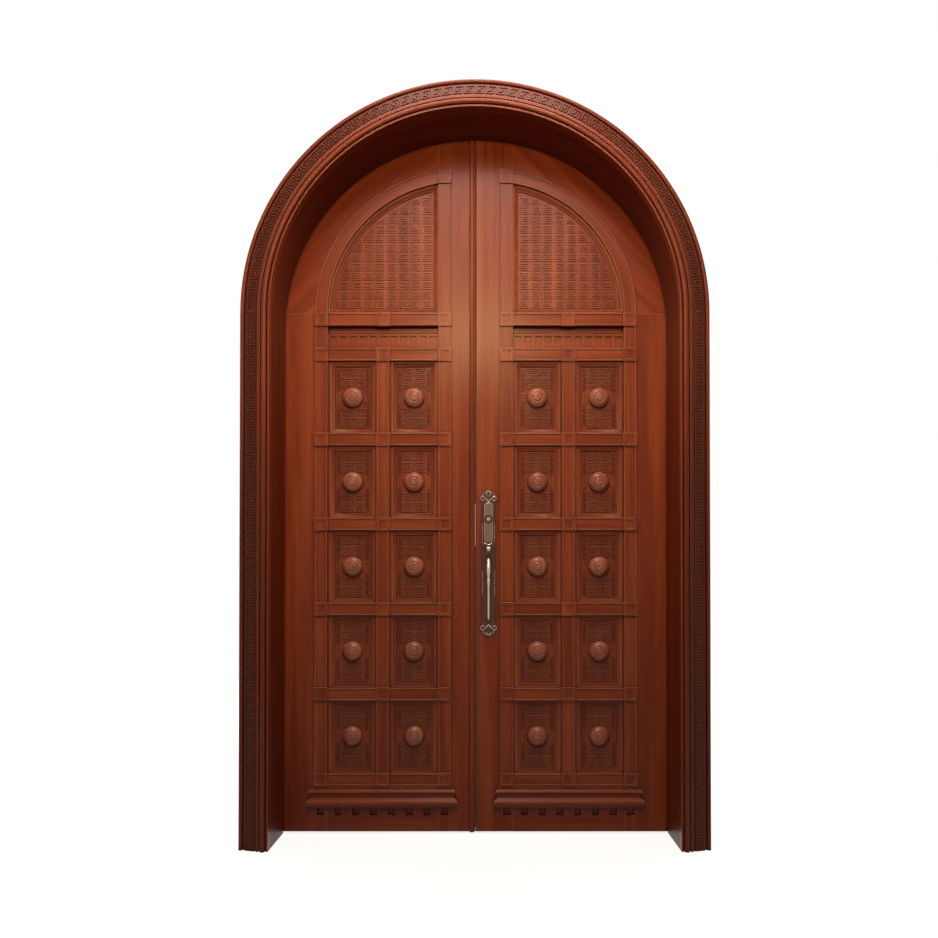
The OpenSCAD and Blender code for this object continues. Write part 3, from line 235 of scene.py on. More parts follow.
def softened(name, rounding, carved=False):
    """A copy of a solid with its outer arrises rounded. Its flat faces are made whole again first, except on
    a carved board, where they have islands, and on a bent one, where the grain turns within a face."""
    work = bmesh.new()
    work.from_mesh(frame["nodes"][name].data)
    bmesh.ops.remove_doubles(work, verts=work.verts, dist=WELD)
    if not carved:
        bmesh.ops.dissolve_limit(work, angle_limit=FLAT, verts=work.verts, edges=work.edges)
    arris = work.faces.layers.float.new("arris")
    arrises = [edge for edge in work.edges
               if len(edge.link_faces) == 2 and edge.is_convex and edge.calc_face_angle() > SHARP]
    rounded = bmesh.ops.bevel(work, geom=arrises, offset=rounding, offset_type="OFFSET", segments=2,
                              profile=0.5, affect="EDGES", clamp_overlap=False)
    # The rounded faces are marked for the painted highlight of the arrises
    for face in rounded["faces"]:
        face[arris] = 1.0
    for face in work.faces:
        face.smooth = True
    for edge in work.edges:
        edge.smooth = len(edge.link_faces) != 2 or edge.calc_face_angle() < CREASE
    return mesh_of(work, name + "_finish")


def read(collection, field, width, kind):
    """A field of mesh elements as an array."""
    values = np.empty(len(collection) * width, kind)
    collection.foreach_get(field, values)
    return values.reshape(-1, width) if width > 1 else values


def boards(mesh):
    """The number of the separate board that each vertex belongs to."""
    ends = read(mesh.edges, "vertices", 2, np.int32)
    label = np.arange(len(mesh.vertices))
    while True:
        low = np.minimum(label[ends[:, 0]], label[ends[:, 1]])
        joined = label.copy()
        np.minimum.at(joined, ends[:, 0], low)
        np.minimum.at(joined, ends[:, 1], low)
        joined = joined[joined]
        if (joined == label).all():
            return np.unique(label, return_inverse=True)[1]
        label = joined


def lay_grain(mesh, rule, centre=(0, 0), turn=1):
    """Writes each corner's place in its board, in millimetres: along the grain, across it and into it.
    Each board starts at a random place of the pattern and has a tone of its own."""
    points = read(mesh.vertices, "co", 3, np.float32) / MM
    corner = read(mesh.loops, "vertex_index", 1, np.int32)
    board_of = boards(mesh)
    count = board_of.max() + 1
    low = np.full((count, 3), 1e9)
    high = np.full((count, 3), -1e9)
    np.minimum.at(low, board_of, points)
    np.maximum.at(high, board_of, points)
    board = board_of[corner]
    x, y, z = points[corner].T
    if rule == "arc":
        dx, dz = x - centre[0] / MM, z - centre[1] / MM
        radius = np.hypot(dx, dz)
        along, across = np.arctan2(dz, dx) * radius.mean(), radius
    elif rule == "raking":
        along, across = (turn * x - z) / math.sqrt(2), (turn * x + z) / math.sqrt(2)
    else:
        span = (high - low)[board]
        if rule == "long":
            level = span[:, 0] > span[:, 2]
        elif rule == "mitred":
            middle = ((low + high) / 2)[board]
            sizes = read(mesh.polygons, "loop_total", 1, np.int32)
            starts = read(mesh.polygons, "loop_start", 1, np.int32)
            faces = np.add.reduceat(points[corner], starts, axis=0) / sizes[:, None]
            inside = span / 2 - np.abs(np.repeat(faces, sizes, axis=0) - middle)
            level = inside[:, 2] < inside[:, 0]
        else:
            level = np.full(len(x), rule == "level")
        along, across = np.where(level, x, z), np.where(level, z, x)
    draw = random.Random(mesh.name)
    starts_at = np.array([[draw.uniform(0, 9000) for _ in range(3)] for _ in range(count)])
    tones = np.array([draw.uniform(-1, 1) for _ in range(count)])
    place = np.stack([along, across, y], 1) + starts_at[board]
    mesh.attributes.new("grain", "FLOAT_VECTOR", "CORNER").data.foreach_set("vector", place.ravel())
    mesh.attributes.new("tone", "FLOAT", "CORNER").data.foreach_set("value", tones[board])


def piece(name, mesh, material, body):
    """An object of the door that rides on a body and takes the material it is given."""
    made = bpy.data.objects.new(name, mesh)
    bpy.context.scene.collection.objects.link(made)
    mesh.materials.append(material)
    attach(made, body)
    return made


def keep_flat(made):
    """Shades the broad faces of a piece flat between its rounded arrises."""
    made.modifiers.new("flat_faces", "WEIGHTED_NORMAL").keep_sharp = True


def body_of(node):
    """The body that carries a solid."""
    return frame["nodes"][node]["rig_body"]


def wooden(node, rule, rounding, material, centre=(0, 0), turn=1, carved=False):
    """A solid dressed as planed boards: arrises rounded and grain laid by a rule."""
    mesh = softened(node, rounding * MM, carved or rule == "arc")
    lay_grain(mesh, rule, centre, turn)
    made = piece(node + "_boards", mesh, material, body_of(node))
    keep_flat(made)
    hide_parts(node)


ring_centre = (0, spring_z)
for side in ("left", "right"):
    wooden("casing_" + side, "upright", 1.2, casing_wood)
    wooden("fret_strip_" + side, "upright", 0.7, fret_wood, carved=True)
    wooden("jamb_" + side, "upright", 1.5, jamb_wood)
wooden("casing_arch", "arc", 1.2, casing_wood, centre=ring_centre)
wooden("fret_strip_arch", "arc", 0.7, fret_wood, centre=ring_centre, carved=True)
wooden("jamb_arch", "arc", 1.5, jamb_wood, centre=ring_centre)

# The pieces of a leaf: grain rule, rounding of the arrises in millimetres and wood
LEAF_PIECES = {
    "hinge_stile": ("upright", 1.5, leaf_wood),
    "meeting_stile": ("upright", 1.5, leaf_wood),
    "rails": ("long", 1.2, leaf_wood),
    "bands": ("long", 1.4, leaf_wood),
    "blocks": ("upright", 1.5, leaf_wood),
    "panel_mouldings": ("mitred", 0.8, moulding_wood),
    "carved_panels": ("upright", 0.8, carved_wood),
    "frieze_panel": ("level", 0.8, leaf_wood),
    "arch_panel": ("upright", 0.8, arch_wood),
    "drip_moulding": ("level", 1.2, leaf_wood),
}
CARVED = ("carved_panels", "arch_panel")
for side, turn in (("left", -1), ("right", 1)):
    for suffix, (rule, rounding, wood) in LEAF_PIECES.items():
        wooden(side + "_" + suffix, rule, rounding, wood, carved=suffix in CARVED)
    wooden(side + "_arch_rail", "raking", 1.5, rail_wood, turn=turn)
    wooden(side + "_arch_band", "arc", 1.4, leaf_wood, centre=(turn * arch_x, arch_base))
    wooden(side + "_arch_moulding", "arc", 0.8, moulding_wood, centre=(turn * arch_x, arch_base))
wooden("astragal", "upright", 1.0, leaf_wood)


# Small carving between the large frets and the mouldings, in millimetres

# Step of a fret, width of its lines and their height, width of a hook's lines
FRET_STEP, FRET_LINE, FRET_RELIEF = 8.4, 4.5, 3
HOOK_LINE = 3.4
# Slope of a line's sides, and how deep its root is sunk
BAR_SLOPE, BAR_ROOT = 0.5, 0.2
# Hook beside the frets of a panel and square spiral of an arch panel, in fret steps about their middles
HOOK = ((0.5, -0.8), (-0.5, -0.8), (-0.5, 0.8), (0.5, 0.8))
SPIRAL = ((-2, -1.5), (2, -1.5), (2, 1.5), (-2, 1.5), (-2, -0.5), (1, -0.5), (1, 0.5), (-1, 0.5))
# Places of the hooks from the middle of a panel
HOOK_X, HOOK_Z = 57.5, (37, 58, 79, 100)
# Grid of the spirals: middle of the first one, steps, and half the size of one
SPIRAL_START = (189.55, 2060.35)
SPIRAL_STEP = (46.5, 37)
SPIRAL_HALF = (19, 14.8)
# Distance of the carving from the rim of the arch panel, and the shortest line that is cut
EDGE_INSET, SHORTEST = 25, 3.5


def fret_lines(path, width):
    """The lines of a fret as boxes of first and last x and z: each starts where the one before it ends."""
    half = width / 2
    boxes = []
    for i, ((xa, za), (xb, zb)) in enumerate(zip(path, path[1:])):
        start = half if i else -half
        run_x, run_z = np.sign(xb - xa), np.sign(zb - za)
        x0, x1 = sorted((xa + run_x * start, xb + run_x * half)) if run_x else (xa - half, xa + half)
        z0, z1 = sorted((za + run_z * start, zb + run_z * half)) if run_z else (za - half, za + half)
        boxes.append((x0, x1, z0, z1))
    return boxes


def bar(work, box, field, turn=1):
    """A raised line of carving with sloping sides, its root sunk in the field of its board."""
    x0, x1, z0, z1 = box
    rows = []
    for inset, y in ((0, field + BAR_ROOT), (BAR_SLOPE, field - FRET_RELIEF)):
        corners = ((x0 + inset, z0 + inset), (x1 - inset, z0 + inset),
                   (x1 - inset, z1 - inset), (x0 + inset, z1 - inset))
        rows.append([work.verts.new((turn * x * MM, y * MM, z * MM)) for x, z in corners])
    skin(work, rows)


def boss_centres(side):
    """The middles of a leaf's bosses as (x, z) places."""
    points = read(frame["nodes"][side + "_bosses"].data.vertices, "co", 3, np.float32)
    tips = points[points[:, 1] < points[:, 1].min() + 0.1 * MM]
    return np.unique(np.round(tips[:, [0, 2]], 4), axis=0)


def panel_hooks(work, side):
    """Columns of hooks at both sides of each panel's frets."""
    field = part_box(side + "_bosses")[1].y / MM
    for cx, cz in boss_centres(side) / MM:
        for z, turn, rise in itertools.product(HOOK_Z, (-1, 1), (-1, 1)):
            path = [(cx + turn * (HOOK_X + FRET_STEP * px), cz + rise * (z + FRET_STEP * pz))
                    for px, pz in HOOK]
            for box in fret_lines(path, HOOK_LINE):
                bar(work, box, field)


def cut_by_rim(box, reach):
    """A line of the right leaf's arch panel cut off at a distance from the middle of the arch."""
    x0, x1, z0, z1 = box
    cx, cz = arch_x / MM, arch_base / MM
    if x1 - x0 > z1 - z0:
        x1 = min(x1, cx + math.sqrt(max(0.0, reach ** 2 - (z1 - cz) ** 2)))
    else:
        z1 = min(z1, cz + math.sqrt(max(0.0, reach ** 2 - (x1 - cx) ** 2)))
    return x0, x1, z0, z1


def rim_spirals(work, side, turn):
    """Spirals cut off by the rim of the arch panel, on the grid of the whole ones."""
    points = read(frame["nodes"][side + "_arch_panel"].data.vertices, "co", 3, np.float32) / MM
    face = points[:, 1].min()
    raised = points[points[:, 1] < face + 0.1]
    reach = np.abs(points[:, 0]).max() - arch_x / MM - EDGE_INSET
    for column in range(int(reach / SPIRAL_STEP[0]) + 1):
        for row in range(int(reach / SPIRAL_STEP[1]) + 1):
            x = SPIRAL_START[0] + column * SPIRAL_STEP[0]
            z = SPIRAL_START[1] + row * SPIRAL_STEP[1]
            near_x = np.abs(np.abs(raised[:, 0]) - x) < SPIRAL_HALF[0]
            near_z = np.abs(raised[:, 2] - z) < SPIRAL_HALF[1]
            if (near_x & near_z).any():
                continue
            hand = 1 - 2 * ((column + row) % 2)
            spiral = [(x + hand * FRET_STEP * px, z + FRET_STEP * pz) for px, pz in SPIRAL]
            for box in fret_lines(spiral, FRET_LINE):
                x0, x1, z0, z1 = cut_by_rim(box, reach)
                if min(x1 - x0, z1 - z0) > SHORTEST:
                    bar(work, (x0, x1, z0, z1), face + FRET_RELIEF, turn)


def small_carving(side, turn):
    """Hooks and cut spirals of a leaf."""
    work = bmesh.new()
    panel_hooks(work, side)
    rim_spirals(work, side, turn)
    bmesh.ops.recalc_face_normals(work, faces=work.faces)
    mesh = mesh_of(work, side + "_small_carving")
    lay_grain(mesh, "upright")
    made = piece(side + "_small_carving", mesh, carved_wood, side + "_leaf")
    # The carving over the arch takes the paler copy, the carving of the panels the darker copy with its
    # painted shade
    made.data.materials.append(arch_wood)
    for polygon in made.data.polygons:
        polygon.material_index = 1 if polygon.center.z > arch_base else 0


for side, turn in (("left", -1), ("right", 1)):
    small_carving(side, turn)


# Bosses: turned domes with a carved rosette

BOSS_RINGS = 30
BOSS_SEGMENTS = 72
# Points of a boss are no further than this from its middle, in millimetres
BOSS_REACH = 60
# Profile: height of the rim, depth of the ring groove and rise of the crown in millimetres; places and widths
# are shares of the radius
BOSS_RIM, GROOVE_DEPTH, CROWN_RISE = 4, 2.6, 1.2
GROOVE_AT, GROOVE_WIDTH, CROWN_SHARE = 0.46, 0.035, 0.5
# Rosette: petals, their reach, root, length and fullness, and the rise of petal and eye and the vein's depth
PETALS = 8
ROSETTE_REACH, PETAL_ROOT, PETAL_LENGTH, PETAL_FULLNESS = 0.42, 0.10, 0.30, 0.6
PETAL_RISE, EYE_RISE, VEIN_DEPTH, VEIN_WIDTH = 1.7, 1.5, 0.35, 0.004


def boss_height(share, height):
    """Height of the turned dome at a share of its radius: a rounded rim, a ring groove and a low crown."""
    edge = BOSS_RIM * MM
    dome = edge + (height - edge) * math.sqrt(max(0.0, 1 - share * share))
    if share > CROWN_SHARE:
        return dome
    groove = GROOVE_DEPTH * MM * math.exp(-((share - GROOVE_AT) / GROOVE_WIDTH) ** 2)
    shoulder = edge + (height - edge) * math.sqrt(1 - CROWN_SHARE ** 2)
    crown = min(dome, shoulder + CROWN_RISE * MM * (1 - share / CROWN_SHARE))
    return crown - groove


def rosette(share, angle):
    """Relief of the carved rosette: petals with a vein each, round a small eye."""
    if share > ROSETTE_REACH:
        return 0.0
    wave = math.cos(PETALS * angle / 2)
    petal = abs(wave) ** PETAL_FULLNESS
    along = math.sin(math.pi * min(1.0, max(0.0, (share - PETAL_ROOT) / PETAL_LENGTH)))
    eye = max(0.0, 1 - (share / PETAL_ROOT) ** 2)
    vein = VEIN_DEPTH * math.exp(-(wave ** 2 - 1) ** 2 / VEIN_WIDTH) * along
    return (PETAL_RISE * petal * along + EYE_RISE * eye - vein) * MM


def boss_radius(points, centres):
    """Radius of the bosses, from the points nearest to the first one."""
    reach = np.hypot(points[:, 0] - centres[0][0], points[:, 2] - centres[0][1])
    return float(reach[reach < BOSS_REACH * MM].max())


def bosses(side):
    """The ten bosses of a leaf, each over its own solid."""
    node = side + "_bosses"
    points = read(frame["nodes"][node].data.vertices, "co", 3, np.float32)
    low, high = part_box(node)
    height = high.y - low.y
    centres = boss_centres(side)
    radius = boss_radius(points, centres)
    work = bmesh.new()
    for cx, cz in centres:
        rows = []
        for i in range(BOSS_RINGS + 1):
            share = i / BOSS_RINGS
            row = []
            for k in range(BOSS_SEGMENTS):
                angle = 2 * math.pi * k / BOSS_SEGMENTS
                lift = boss_height(share, height) + rosette(share, angle)
                row.append(work.verts.new((cx + radius * share * math.cos(angle), high.y - lift,
                                           cz + radius * share * math.sin(angle))))
            rows.append(row)
        rows.append([work.verts.new((v.co.x, high.y, v.co.z)) for v in rows[-1]])
        for inner, outer in zip(rows, rows[1:]):
            for k in range(BOSS_SEGMENTS):
                n = (k + 1) % BOSS_SEGMENTS
                work.faces.new((inner[k], outer[k], outer[n], inner[n]))
    bmesh.ops.remove_doubles(work, verts=work.verts, dist=WELD)
    bmesh.ops.recalc_face_normals(work, faces=work.faces)
    for face in work.faces:
        face.smooth = True
    mesh = mesh_of(work, node + "_finish")
    lay_grain(mesh, "upright")
    made = piece(node + "_turned", mesh, boss_wood, body_of(node))
    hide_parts(node)


for side in ("left", "right"):
    bosses(side)


# Metals and rubber

# Sizes of the cloudy gloss and the casting grit of metal and of the unevenness of rubber, in millimetres
METAL_CLOUD, METAL_GRIT, RUBBER_CLOUD = 9, 0.9, 4


def metal(name, colour, patina, roughness, recess):
    """Cast and burnished metal: worn bright on what stands proud, dark patina left in the hollows,
    faint cloudiness in the gloss."""
    material, tree, surface = shader(name)
    place = add(tree, "ShaderNodeTexCoord").outputs["Object"]
    cloud = add(tree, "ShaderNodeTexNoise", {"Scale": 1 / (METAL_CLOUD * MM), "Detail": 3.0},
                {"Vector": place}).outputs["Fac"]
    grit = add(tree, "ShaderNodeTexNoise", {"Scale": 1 / (METAL_GRIT * MM), "Detail": 2.0},
               {"Vector": place}).outputs["Fac"]
    hollow = add(tree, "ShaderNodeAmbientOcclusion", {"Distance": recess * MM}, samples=8).outputs["AO"]
    worn = add(tree, "ShaderNodeMapRange", {"From Min": 0.35, "From Max": 0.85}, {"Value": hollow}).outputs[0]
    clouded = add(tree, "ShaderNodeMath", {1: 0.30, 2: 0.72}, {0: cloud}, operation="MULTIPLY_ADD").outputs[0]
    shown = add(tree, "ShaderNodeMath", links={0: worn, 1: clouded}, operation="MULTIPLY").outputs[0]
    tint = add(tree, "ShaderNodeMix", {6: linear(patina), 7: linear(colour)}, {"Factor": shown},
               data_type="RGBA").outputs[2]
    gloss = add(tree, "ShaderNodeMapRange", {"From Min": 0.3, "From Max": 0.7, "To Min": roughness - 0.05,
                                              "To Max": roughness + 0.10}, {"Value": cloud}).outputs[0]
    bump = add(tree, "ShaderNodeBump", {"Strength": 0.25, "Distance": 0.08 * MM}, {"Height": grit}).outputs[0]
    surface.inputs["Metallic"].default_value = 1.0
    tree.links.new(tint, surface.inputs["Base Color"])
    tree.links.new(gloss, surface.inputs["Roughness"])
    tree.links.new(bump, surface.inputs["Normal"])
    return material


def rubber(name, colour):
    """Extruded rubber: dark, dull and slightly uneven."""
    material, tree, surface = shader(name)
    place = add(tree, "ShaderNodeTexCoord").outputs["Object"]
    uneven = add(tree, "ShaderNodeTexNoise", {"Scale": 1 / (RUBBER_CLOUD * MM), "Detail": 3.0},
                 {"Vector": place}).outputs["Fac"]
    gloss = add(tree, "ShaderNodeMapRange", {"To Min": 0.62, "To Max": 0.82}, {"Value": uneven}).outputs[0]
    surface.inputs["Base Color"].default_value = linear(colour)
    tree.links.new(gloss, surface.inputs["Roughness"])
    return material


# Metals of the door: worn colour, patina, roughness and reach of the patina out of a hollow in millimetres
plate_bronze = metal("antique_bronze_plate", "#52372b", "#1a100c", 0.36, 5)
field_bronze = metal("antique_bronze_field", "#705748", "#241812", 0.36, 5)
bright_bronze = metal("antique_bronze_burnished", "#b7a495", "#3a2b23", 0.2, 6)
brushed_steel = metal("brushed_steel", "#a9a9ab", "#4c4c4e", 0.3, 4)
seal_rubber = rubber("seal_rubber", "#1a1513")


def metallic(node, rounding, material):
    """A solid dressed as metal with its arrises rounded."""
    made = piece(node + "_metal", softened(node, rounding * MM), material, body_of(node))
    keep_flat(made)
    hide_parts(node)


# Metal solids: rounding of the arrises in millimetres, metal and slot
METALS = {
    "handle_plate": (0.7, plate_bronze, "antique_bronze"),
    "thumb_piece": (0.7, bright_bronze, "antique_bronze"),
    "key_cylinder": (0.6, plate_bronze, "antique_bronze"),
    "inner_plate": (0.8, plate_bronze, "antique_bronze"),
    "inner_knob": (0.5, bright_bronze, "antique_bronze"),
    "thumbturn": (0.7, bright_bronze, "antique_bronze"),
    "flush_bolt_plates": (0.4, plate_bronze, "antique_bronze"),
    "key_plug": (0.3, brushed_steel, "steel"),
    "lock_case": (0.5, brushed_steel, "steel"),
    "latch_bolt": (0.5, brushed_steel, "steel"),
    "deadbolt": (0.6, brushed_steel, "steel"),
    "strike_plate": (0.4, brushed_steel, "steel"),
    "flush_bolt_top": (0.6, brushed_steel, "steel"),
    "flush_bolt_bottom": (0.6, brushed_steel, "steel"),
}
for side in ("left", "right"):
    METALS[side + "_frame_hinges"] = (0.4, plate_bronze, "antique_bronze")
    METALS[side + "_leaf_hinges"] = (0.4, plate_bronze, "antique_bronze")
    METALS[side + "_hinge_pins"] = (0.6, brushed_steel, "steel")
for node, (rounding, material, slot) in METALS.items():
    metallic(node, rounding, material)

seal = frame["nodes"]["weather_seal"]
seal.data.materials.clear()
seal.data.materials.append(seal_rubber)


# Triangles of the grip that bend by less than this make one face
GRIP_BEND = math.radians(60)


def grip():
    """The grip, its rings joined into a smooth casting."""
    work = bmesh.new()
    work.from_mesh(frame["nodes"]["grip"].data)
    bmesh.ops.remove_doubles(work, verts=work.verts, dist=WELD)
    bmesh.ops.join_triangles(work, faces=work.faces, angle_face_threshold=GRIP_BEND,
                             angle_shape_threshold=GRIP_BEND)
    for face in work.faces:
        face.smooth = True
    made = piece("grip_cast", mesh_of(work, "grip_finish"), bright_bronze, body_of("grip"))
    cast = made.modifiers.new("cast", "SUBSURF")
    cast.levels = cast.render_levels = 2
    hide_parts("grip")


grip()


# Chasing of the handle plate: places in millimetres from the middle line of the plate and its ends

# How far proud of the leaf the faces of the plate are: plate, palm, scrolls, edges and raised field
PLATE_FACE, PALM_FACE, SCROLL_FACE, EDGE_FACE, FIELD_FACE = 5, 8, 7, 7, 8
# Finial: radius, ring of beads and their size, palm with its ribs and eye, arms across its foot, scrolls
FINIAL, FINIAL_RING, FINIAL_BEADS, FINIAL_BEAD_R = 24, 21.4, 11, 2.3
PALM_DROP, PALM_R, PALM_RIBS, PALM_RIB_R, EYE_R = 15, 12, 7, 1.7, 5
ARMS = ((-17, -5), (-13, -6), (-8, -11), (-3, -17), (0, -21), (3, -17), (8, -11), (13, -6), (17, -5))
ARM_R = 2.6
SCROLL_X, SCROLL_DROP, SCROLL_R, SCROLL_LINE_R = 22, 32, 9.4, 1.5
# Raised field: half its width, height of its foot, tolerance of its face, rim and the tip below it
FIELD_HALF, FIELD_FOOT, FIELD_ROUGH, RIM_INSET, RIM_R = 18, 1128, 0.6, 1.4, 1.6
TIP = ((-12, -5), (-6, -9), (0, -11), (6, -9), (12, -5))
TIP_R = 2.6
# Beads at the edges: place from the middle, stretches of height, step and size
EDGE_X, BEADED, BEAD_STEP, BEAD_R = 24, ((1126, 1198), (925, 1019)), 4.5, 1.7
# Beads on the broad top of the grip: lowest and highest, step, places across in turn, size, how far proud,
# lean back and curve across
GRIP_LEAF, GRIP_BEAD_STEP, GRIP_BEADS, GRIP_BEAD_R = (1024, 1058), 4.2, ((-6, -2, 2, 6), (-4, 0, 4)), 2.3
GRIP_PROUD, GRIP_LEAN, GRIP_CURVE = 59, 0.31, 0.05
# A ridge: sides of its half round, how deep its root is sunk and the size of its ends
RIDGE_SIDES, RIDGE_ROOT, RIDGE_END = 6, 0.3, 0.45


def handle_point(x, z, proud):
    """A place on the handle in millimetres: sideways from its middle, height, how far proud of the leaf."""
    return Vector((handle_x + x * MM, leaf_front - proud * MM, z * MM))


def bead(work, x, z, face, radius):
    """A small round bead sunk to half its depth."""
    place = Matrix.Translation(handle_point(x, z, face))
    bmesh.ops.create_icosphere(work, subdivisions=2, radius=radius * MM, matrix=place)


def ridge(work, path, face, radius):
    """A half-round ridge along a path of (x, z) places, tapered at both ends, its root sunk in the plate."""
    rings = []
    last = len(path) - 1
    for i, (x, z) in enumerate(path):
        ahead, behind = path[min(i + 1, last)], path[max(i - 1, 0)]
        run = Vector((ahead[0] - behind[0], ahead[1] - behind[1])).normalized()
        swell = math.sin(math.pi * min(1.0, 4 * min(i, last - i) / last) / 2)
        size = radius * (RIDGE_END + (1 - RIDGE_END) * swell)
        ring = []
        for k in range(RIDGE_SIDES + 1):
            angle = math.pi * k / RIDGE_SIDES
            side = size * math.cos(angle)
            ring.append(work.verts.new(handle_point(x - run.y * side, z + run.x * side,
                                                    face - RIDGE_ROOT + size * math.sin(angle))))
        rings.append(ring)
    skin(work, rings)


def arc_path(cx, cz, radius, start, end, steps, shrink=0.0):
    """Places along an arc in degrees, its radius shrinking to the end."""
    path = []
    for i in range(steps + 1):
        share = i / steps
        angle = math.radians(start + (end - start) * share)
        reach = radius * (1 - shrink * share)
        path.append((cx + reach * math.cos(angle), cz + reach * math.sin(angle)))
    return path


def finial_chasing(work, end_z, up):
    """Shell, beads, crossed arms and scrolls of one end of the plate."""
    middle = end_z - up * FINIAL
    for x, z in arc_path(0, 0, FINIAL_RING, -6, 186, FINIAL_BEADS - 1):
        bead(work, x, middle + up * z, PLATE_FACE, FINIAL_BEAD_R)
    palm = end_z - up * PALM_DROP
    for x, z in arc_path(0, 0, 1, 12, 168, PALM_RIBS - 1):
        rib = [(r * x, palm + up * r * z) for r in (EYE_R + 0.4, 8, 10, PALM_R)]
        ridge(work, rib, PALM_FACE, PALM_RIB_R)
    ridge(work, [(x, middle + up * z) for x, z in ARMS], PLATE_FACE, ARM_R)
    for side in (-1, 1):
        scroll = arc_path(0, 0, SCROLL_R, 100, -350, 30, 0.42)
        placed = [(side * (SCROLL_X + x), end_z - up * SCROLL_DROP + up * z) for x, z in scroll]
        ridge(work, placed, SCROLL_FACE, SCROLL_LINE_R)


def handle_chasing():
    """Ornament cast on the handle: finials, the rim of its field, beads at the edges and on the grip."""
    work = bmesh.new()
    top, bottom = plate_high.z / MM, plate_low.z / MM
    finial_chasing(work, top, 1)
    finial_chasing(work, bottom, -1)
    arch_z = top - 2 * FINIAL - FIELD_HALF
    inner = FIELD_HALF - RIM_INSET
    halfway = (FIELD_FOOT + arch_z) / 2
    rim = [(inner, FIELD_FOOT), (inner, halfway)]
    rim += arc_path(0, arch_z, inner, 0, 180, 20)
    rim += [(-inner, halfway), (-inner, FIELD_FOOT)]
    ridge(work, rim, FIELD_FACE, RIM_R)
    tip = [(-inner, 1), *TIP, (inner, 1)]
    ridge(work, [(x, FIELD_FOOT + z) for x, z in tip], PLATE_FACE + 1, TIP_R)
    for z0, z1 in BEADED:
        for i in range(int((z1 - z0) / BEAD_STEP) + 1):
            for side in (-1, 1):
                bead(work, side * EDGE_X, z0 + i * BEAD_STEP, EDGE_FACE, BEAD_R)
    grip_low, grip_high = GRIP_LEAF
    for row in range(int((grip_high - grip_low) / GRIP_BEAD_STEP) + 1):
        z = grip_low + row * GRIP_BEAD_STEP
        for x in GRIP_BEADS[row % 2]:
            proud = GRIP_PROUD - GRIP_LEAN * (z - grip_low) - GRIP_CURVE * x * x
            bead(work, x, z, proud, GRIP_BEAD_R)
    bmesh.ops.recalc_face_normals(work, faces=work.faces)
    for face in work.faces:
        face.smooth = True
    piece("handle_chasing", mesh_of(work, "handle_chasing"), bright_bronze, "right_leaf")


handle_chasing()

# The raised field of the plate is rubbed brighter
plate = bpy.data.objects["handle_plate_metal"]
plate.data.materials.append(field_bronze)
for polygon in plate.data.polygons:
    raised = abs(leaf_front - polygon.center.y - FIELD_FACE * MM) < FIELD_ROUGH * MM
    polygon.material_index = 1 if raised and polygon.center.z > FIELD_FOOT * MM else 0


# Seals of the meeting edges: soft blades that close the gap between the leaves, dark so that they also stand
# in for the shade inside the gap

meeting_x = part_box("right_meeting_stile")[0].x
meeting_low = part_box("right_meeting_stile")[0].z
meeting_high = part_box("right_meeting_stile")[1].z - MM
# Heights of the bright edge of the lock that shows in the gap
LOCK_EDGE = (1112 * MM, 1279 * MM)
# Blades in millimetres: first and last depth behind the face of the leaf and distance of the tip from the
# middle; half the thickness of the tip
FRONT_BLADE = (1, 5, 0.3)
BACK_BLADE = (53, 57, 0.5)
BLADE_TIP = 0.8


def blade(work, side, shape, z0, z1):
    """A tapered blade along a meeting edge: broad at its root and thin at its tip."""
    y0, y1, tip = shape
    middle = (y0 + y1) / 2
    section = [(meeting_x, y0), (tip * MM, middle - BLADE_TIP),
               (tip * MM, middle + BLADE_TIP), (meeting_x, y1)]
    rows = [[work.verts.new((side * x, leaf_front + y * MM, z)) for x, y in section] for z in (z0, z1)]
    skin(work, rows)


def meeting_blades(name, stretches, material):
    """Blades of both leaves over stretches of height."""
    for side, body in ((-1, "left_leaf"), (1, "right_leaf")):
        work = bmesh.new()
        for shape, z0, z1 in stretches:
            blade(work, side, shape, z0, z1)
        bmesh.ops.recalc_face_normals(work, faces=work.faces)
        piece(body + name, mesh_of(work, body + name), material, body)


SEALED = (
    (FRONT_BLADE, meeting_low, LOCK_EDGE[0]),
    (FRONT_BLADE, LOCK_EDGE[1], meeting_high),
    (BACK_BLADE, meeting_low, meeting_high),
)
# Painted shade: the dark rubber blades fill the gap between the leaves where its shade would show
meeting_blades("_meeting_seal", SEALED, seal_rubber)
meeting_blades("_lock_edge", ((FRONT_BLADE, *LOCK_EDGE),), bright_bronze)


# Studio

# Half the side of the floor and how far it lies below the feet, in metres
FLOOR_HALF, FLOOR_DROP = 14.0, 0.5 * MM


def background_seen(tree):
    """1 for rays that see the white background: from the camera, in reflections and through glass."""
    path = add(tree, "ShaderNodeLightPath").outputs
    seen = path["Is Camera Ray"]
    for ray in ("Is Glossy Ray", "Is Transmission Ray"):
        seen = add(tree, "ShaderNodeMath", links={0: seen, 1: path[ray]}, operation="MAXIMUM").outputs[0]
    return seen


